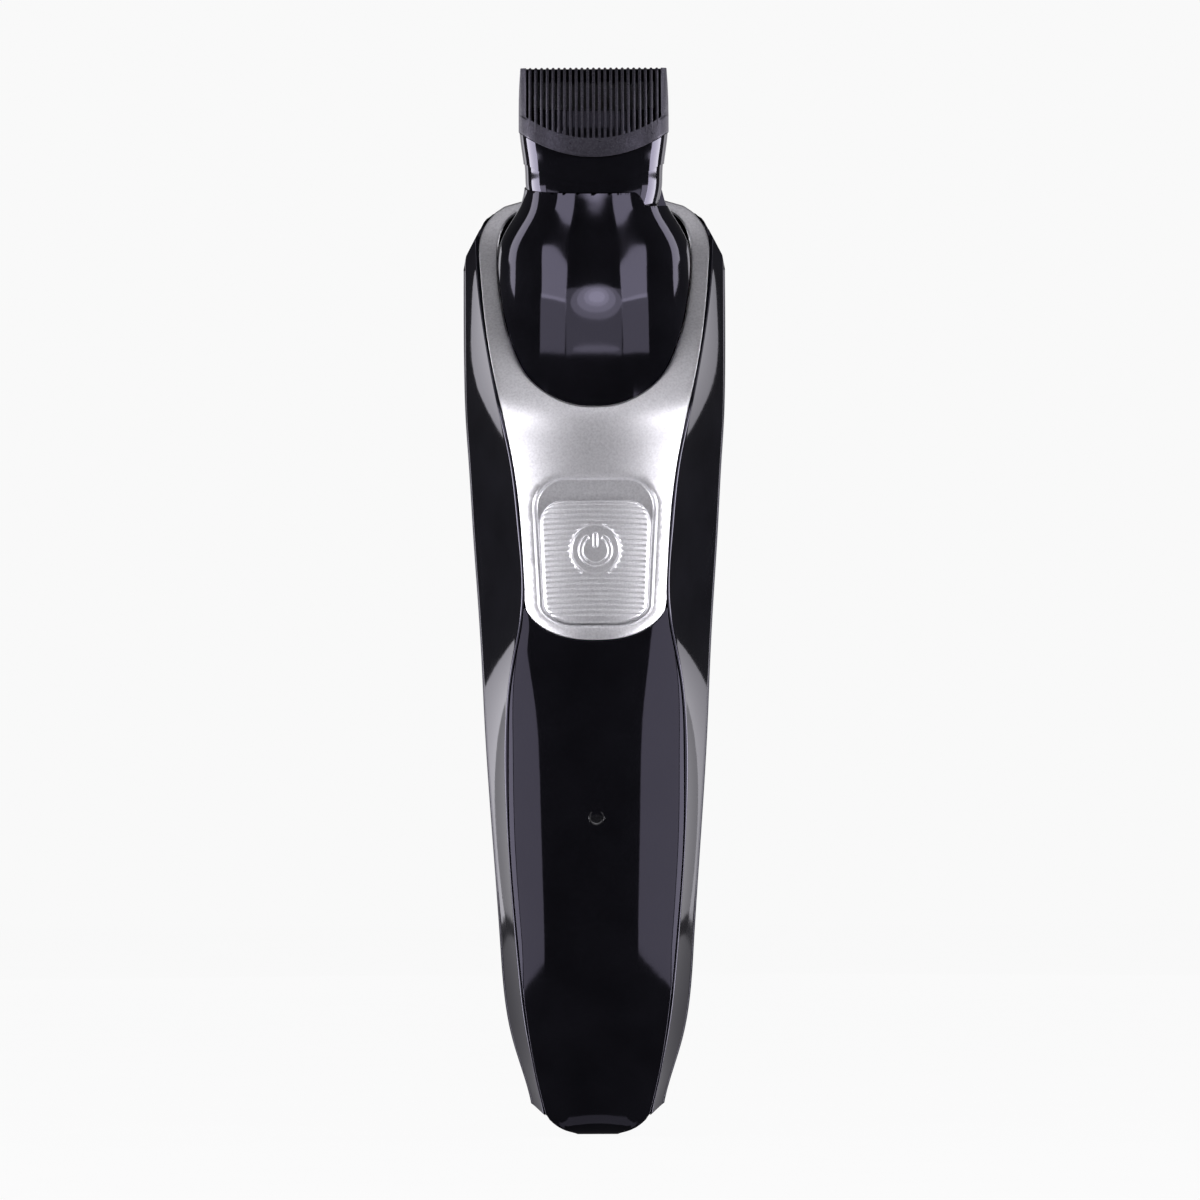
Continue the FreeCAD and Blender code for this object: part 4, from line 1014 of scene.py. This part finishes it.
LENS = material("smoked_lens", (0.012, 0.012, 0.014), 0.12, 0.0, 0.3, 0.8, 0.004, 0.6, transmission=0.2)
STEEL = material("machined_steel", (0.55, 0.55, 0.57), 0.32, 1.0, 0.12, 0.6, 0.006, 0.4, stretch=(1, 1, 6),
                 anisotropic=0.3)
BRIGHT = material("polished_steel", (0.68, 0.68, 0.70), 0.16, 1.0, 0.08, 0.8, 0.003, 0.5, stretch=(1, 6, 1))
# painted shade: this blade steel is made nearly black so that the gaps between the comb's teeth look shaded
SHADED_BLADE_STEEL = material("blade_steel_painted_shade", (0.05, 0.05, 0.055), 0.36, 1.0, 0.15, 0.6, 0.006, 0.4,
                 stretch=(6, 1, 1))

BY_SLOT = {"silver_satin": SILVER, "gloss_black": GLOSS, "comb_black": COMB, "smoke_lens": LENS, "steel": STEEL,
           "bright_steel": BRIGHT}
# slot: name, colour, roughness, metallic, grain, grain size, bump, bump size
PLAIN = {
    "matte_black": ("matte_black_nylon", (0.018, 0.018, 0.020), 0.5, 0.0, 0.3, 1.2, 0.02, 0.5),
    "brass": ("brass", (0.72, 0.50, 0.20), 0.28, 1.0, 0.12, 0.7, 0.005, 0.4),
    "board_green": ("board_laminate", (0.02, 0.13, 0.06), 0.4, 0.0, 0.25, 0.9, 0.01, 0.5),
    "chip_black": ("chip_epoxy", (0.015, 0.015, 0.016), 0.45, 0.0, 0.3, 0.4, 0.01, 0.25),
    "cell_wrap": ("cell_wrap", (0.06, 0.16, 0.42), 0.28, 0.0, 0.12, 3.0, 0.01, 2.0),
    "nylon_white": ("white_nylon", (0.70, 0.69, 0.65), 0.42, 0.0, 0.05, 1.0, 0.01, 0.5),
    "rubber_black": ("black_rubber", (0.014, 0.014, 0.014), 0.7, 0.0, 0.3, 0.6, 0.02, 0.35),
    "wire_red": ("red_insulation", (0.45, 0.02, 0.02), 0.35, 0.0, 0.12, 1.5, 0.006, 0.8),
    "wire_black": ("black_insulation", (0.012, 0.012, 0.013), 0.35, 0.0, 0.2, 1.5, 0.006, 0.8),
}
BY_SLOT.update({slot: material(*values) for slot, values in PLAIN.items()})


def paint(obj, mat):
    obj.data.materials.clear()
    obj.data.materials.append(mat)


# painted shade: the blades, spring and screws get a nearly black steel, and the carrier and lever matte black,
# standing in for the shade inside the comb, whose teeth hide most of them
SHADE_BEHIND_TEETH = {"fixed_blade": SHADED_BLADE_STEEL, "moving_blade": SHADED_BLADE_STEEL, "blade_spring": SHADED_BLADE_STEEL, "blade_screws": SHADED_BLADE_STEEL,
                "blade_carrier": BY_SLOT["matte_black"], "drive_lever": BY_SLOT["matte_black"]}
for row in frame["record"]["subparts"]:
    paint(frame["nodes"][row["node"]], SHADE_BEHIND_TEETH.get(row["node"], BY_SLOT[row["material_slot"]]))


# ---------------------------------------------------------------- pieces
def place(piece, body, node, slot, mat):
    paint(piece, mat)
    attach(piece, body)
    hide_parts(node)


def light_lens(sides=48):
    """Smoked end of the light pipe: a shallow dome inside a fine ring, on a rod that runs back to the board."""
    low, high = (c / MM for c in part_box("light_pipe"))
    z, face = (low.z + high.z) / 2, float(front_y(0.0, (low.z + high.z) / 2))
    rim = (high.x - low.x) / 2
    profile = [(0.02, face - 0.035), (0.5, face - 0.03), (0.8, face - 0.012), (0.92, face + 0.0),
               (1.0, face - 0.03), (1.08, face - 0.055), (1.17, face - 0.05), (1.25, face + 0.02),
               (rim - 0.03, face + 0.3), (rim - 0.03, high.y), (0.02, high.y)]
    turn = np.linspace(0, 2 * math.pi, sides + 1)[:-1]
    grid = np.array([np.c_[r * np.cos(turn), np.full(sides, y), z + r * np.sin(turn)] for r, y in profile])
    return grid_object("light_pipe_lens", grid, closed=True, sharp=50, flip=True)


place(light_lens(), "housing", "light_pipe", "smoke_lens", LENS)
place(front_panel(), "housing", "front_panel", "gloss_black", GLOSS)
plate = silver_faceplate()
place(plate, "housing", "silver_faceplate", "silver_satin", SILVER)
place(front_frame(), "housing", "front_frame", "gloss_black", GLOSS)
place(rear_shell(), "housing", "rear_shell", "gloss_black", GLOSS)
place(neck_bell(), "housing", "neck_bell", "gloss_black", GLOSS_NECK)
place(head_base(), "head", "head_base", "gloss_black", GLOSS_NECK)
place(head_shell(), "head", "head_shell", "gloss_black", GLOSS_NECK)
comb = comb_guard()
place(comb, "comb", "comb_guard", "comb_black", COMB)
button = switch_button()
place(button, "thumb_switch", "switch_button", "silver_satin", BUTTON_SILVER)


# ---------------------------------------------------------------- studio
BACKDROP = 0.947                            # tone of the floor and of everything behind the object
NECK_AIM = 0.14                             # height in metres that the lamps for the neck point at
NECK_GLOW = ((17, 0.37, 0.60), (12, 0.41, 0.59), (7, 0.45, 0.575), (4, 0.475, 0.555))


def plane(name, size, place_at, mat):
    mesh = bpy.data.meshes.new(name)
    h = size / 2
    mesh.from_pydata([(-h, -h, 0), (h, -h, 0), (h, h, 0), (-h, h, 0)], [], [(0, 1, 2, 3)])
    obj = bpy.data.objects.new(name, mesh)
    bpy.context.scene.collection.objects.link(obj)
    obj.location = place_at
    mesh.materials.append(mat)
    return obj


def floor_material():
    """Pale sweep: it glows like a lit backdrop, with a little plain diffuse, and a faint mottle."""
    mat = bpy.data.materials.new("pale_floor")
    mat.use_nodes = True
    nodes, links = mat.node_tree.nodes, mat.node_tree.links
    nodes.clear()
    out = nodes.new("ShaderNodeOutputMaterial")
    matt, glow = nodes.new("ShaderNodeBsdfDiffuse"), nodes.new("ShaderNodeEmission")
    mix = nodes.new("ShaderNodeMixShader")
    place_at = nodes.new("ShaderNodeTexCoord")
    n = nodes.new("ShaderNodeTexNoise")
    n.inputs["Scale"].default_value = 40.0
    links.new(place_at.outputs["Object"], n.inputs["Vector"])
    ramp = nodes.new("ShaderNodeValToRGB")
    ramp.color_ramp.elements[0].color = (BACKDROP - 0.003,) * 3 + (1,)
    ramp.color_ramp.elements[1].color = (BACKDROP + 0.003,) * 3 + (1,)
    links.new(n.outputs["Fac"], ramp.inputs["Fac"])
    links.new(ramp.outputs["Color"], matt.inputs["Color"])
    links.new(ramp.outputs["Color"], glow.inputs["Color"])
    glow.inputs["Strength"].default_value = 1.035
    mix.inputs["Fac"].default_value = 0.96
    links.new(matt.outputs["BSDF"], mix.inputs[1])
    links.new(glow.outputs["Emission"], mix.inputs[2])
    links.new(mix.outputs["Shader"], out.inputs["Surface"])
    return mat


LAMP_TINT = (1.0, 0.98, 1.04)


def softbox(name, azimuth, low, high, distance, radiance, aim_z=0.09, shape="RECTANGLE"):
    """Lamp panel facing the object.

    azimuth is (from, to) in degrees, 0 in front and 90 to the right; low and high are heights in metres.
    """
    light = bpy.data.lights.new(name, "AREA")
    light.shape = shape
    a0, a1 = (math.radians(a) for a in azimuth)
    mid = (a0 + a1) / 2
    centre = Vector((distance * math.sin(mid), -distance * math.cos(mid), (low + high) / 2))
    aim = Vector((0, 0, aim_z)) - centre
    tip = abs(math.atan2(aim.z, math.hypot(aim.x, aim.y)))
    light.size = 2 * distance * math.tan(abs(a1 - a0) / 2)
    light.size_y = (high - low) / math.cos(tip)
    cover = 1.0 if shape == "RECTANGLE" else math.pi / 4
    light.energy = radiance * math.pi * light.size * light.size_y * cover
    light.color = LAMP_TINT
    obj = bpy.data.objects.new(name, light)
    bpy.context.scene.collection.objects.link(obj)
    obj.location = centre
    obj.rotation_euler = aim.to_track_quat("-Z", "Y").to_euler()
    obj.visible_camera = False
    return obj


def lamp_set(name, pieces, state):
    """Light-linking set of pieces, which a lamp either lights alone or leaves out."""
    group = bpy.data.collections.new(name)
    for piece in pieces:
        group.objects.link(piece)
    for entry in group.collection_objects:
        entry.light_linking.link_state = state
    return group


def pair(name, near, far, *placing, **aim):
    """The same panel on the left and on the right."""
    softbox("left_" + name, (-far, -near), *placing, **aim)
    softbox("right_" + name, (near, far), *placing, **aim)


def backdrop():
    """Faint even light in the room, with a pale backdrop that only the camera sees."""
    world = bpy.data.worlds.new("studio")
    bpy.context.scene.world = world
    world.use_nodes = True
    nodes, links = world.node_tree.nodes, world.node_tree.links
    room = nodes["Background"]
    room.inputs["Color"].default_value = (0.95, 0.93, 1.0, 1)
    room.inputs["Strength"].default_value = 0.045
    seen = nodes.new("ShaderNodeBackground")
    seen.inputs["Color"].default_value = (BACKDROP, BACKDROP, BACKDROP, 1)
    path = nodes.new("ShaderNodeLightPath")
    mix = nodes.new("ShaderNodeMixShader")
    links.new(path.outputs["Is Camera Ray"], mix.inputs["Fac"])
    links.new(room.outputs["Background"], mix.inputs[1])
    links.new(seen.outputs["Background"], mix.inputs[2])
    links.new(mix.outputs["Shader"], nodes["World Output"].inputs["Surface"])


def stage_floor():
    floor = plane("floor", 3.1, (0, 0, CAD_LOW.z - 0.0004), floor_material())
    floor.visible_glossy = False
    floor.visible_diffuse = False
    floor.visible_shadow = False


def lamps():
    # low side panels light the grip and the flanks of the faceplate; their tops end below the neck
    softbox("left_low", (-62, -36), -0.06, 0.108, 0.36, 1.5, aim_z=0.03)
    softbox("right_low", (28, 62), -0.06, 0.108, 0.36, 1.5, aim_z=0.03)
    pair("edge", 64, 84, -0.06, 0.125, 0.36, 3.2, aim_z=0.04)
    # high panels give the neck its two upright highlights and the broad one below them
    for name, low, high, radiance in (("high", 0.235, 0.50, 1.6), ("top", 0.50, 0.70, 3.4)):
        softbox("left_" + name, (-46, -20), low, high, 1.0, radiance, aim_z=NECK_AIM)
        softbox("right_" + name, (19, 46), low, high, 1.0, radiance, aim_z=NECK_AIM)
    # those in the middle are screened from the satin pieces and the comb
    middle = [softbox("middle_high", (-20, 19), 0.235, 0.585, 1.0, 1.2, aim_z=NECK_AIM),
              softbox("middle_rim", (-14, 17), 0.236, 0.262, 0.98, 1.5, aim_z=NECK_AIM, shape="ELLIPSE")]
    for k, (wide, low, high) in enumerate(NECK_GLOW):
        middle.append(softbox("middle_glow_%d" % k, (1 - wide, 2 + wide), low, high, 0.98 - 0.005 * k, 1.4,
                              aim_z=NECK_AIM, shape="ELLIPSE"))
    screened = lamp_set("screened_pieces", (plate, button, comb), "EXCLUDE")
    for lamp in middle:
        lamp.light_linking.receiver_collection = screened
    # fill from overhead and from the floor in front models the satin paint, beyond what the gloss mirrors
    softbox("overhead", (-32, 32), 1.0, 1.6, 0.9, 0.5)
    softbox("under_front", (-32, 32), -1.4, -0.85, 0.9, 0.45)
    # side strips and backdrop panels outline the head and the sloping flanks
    pair("strip", 88, 108, 0.36, 0.75, 0.9, 3.6, aim_z=NECK_AIM)
    pair("under", 82, 121, -0.45, 0.15, 0.9, 9.0, aim_z=NECK_AIM)
    softbox("left_back", (-152, -140), -0.02, 0.30, 1.0, 1.5)
    softbox("right_back", (140, 152), -0.02, 0.30, 1.0, 1.1)
    pair("far", 152, 178, -0.02, 0.30, 1.0, 0.5)
    pair("back_low", 140, 178, -0.5, -0.03, 1.0, 0.26)
    # two cards set for the satin pieces only
    satin = lamp_set("satin_pieces", (plate, button), "INCLUDE")
    for name, reach in (("left_card", (-52, -26)), ("right_card", (26, 50))):
        softbox(name, reach, -0.05, 0.130, 0.37, 3.7, aim_z=0.06).light_linking.receiver_collection = satin


def camera():
    data = bpy.data.cameras.new("camera")
    data.sensor_width = 36.0
    height, distance = 0.192, 2.4
    data.lens = 36.0 * distance / height
    data.clip_start, data.clip_end = 0.1, 50.0
    cam = bpy.data.objects.new("camera", data)
    bpy.context.scene.collection.objects.link(cam)
    cam.location = (0.0007, -distance, 0.0853)
    cam.rotation_mode = "XYZ"
    cam.rotation_euler = (math.radians(90), math.radians(0.24), 0)
    bpy.context.scene.camera = cam


bpy.context.scene.view_settings.view_transform = "Standard"
backdrop()
stage_floor()
lamps()
camera()
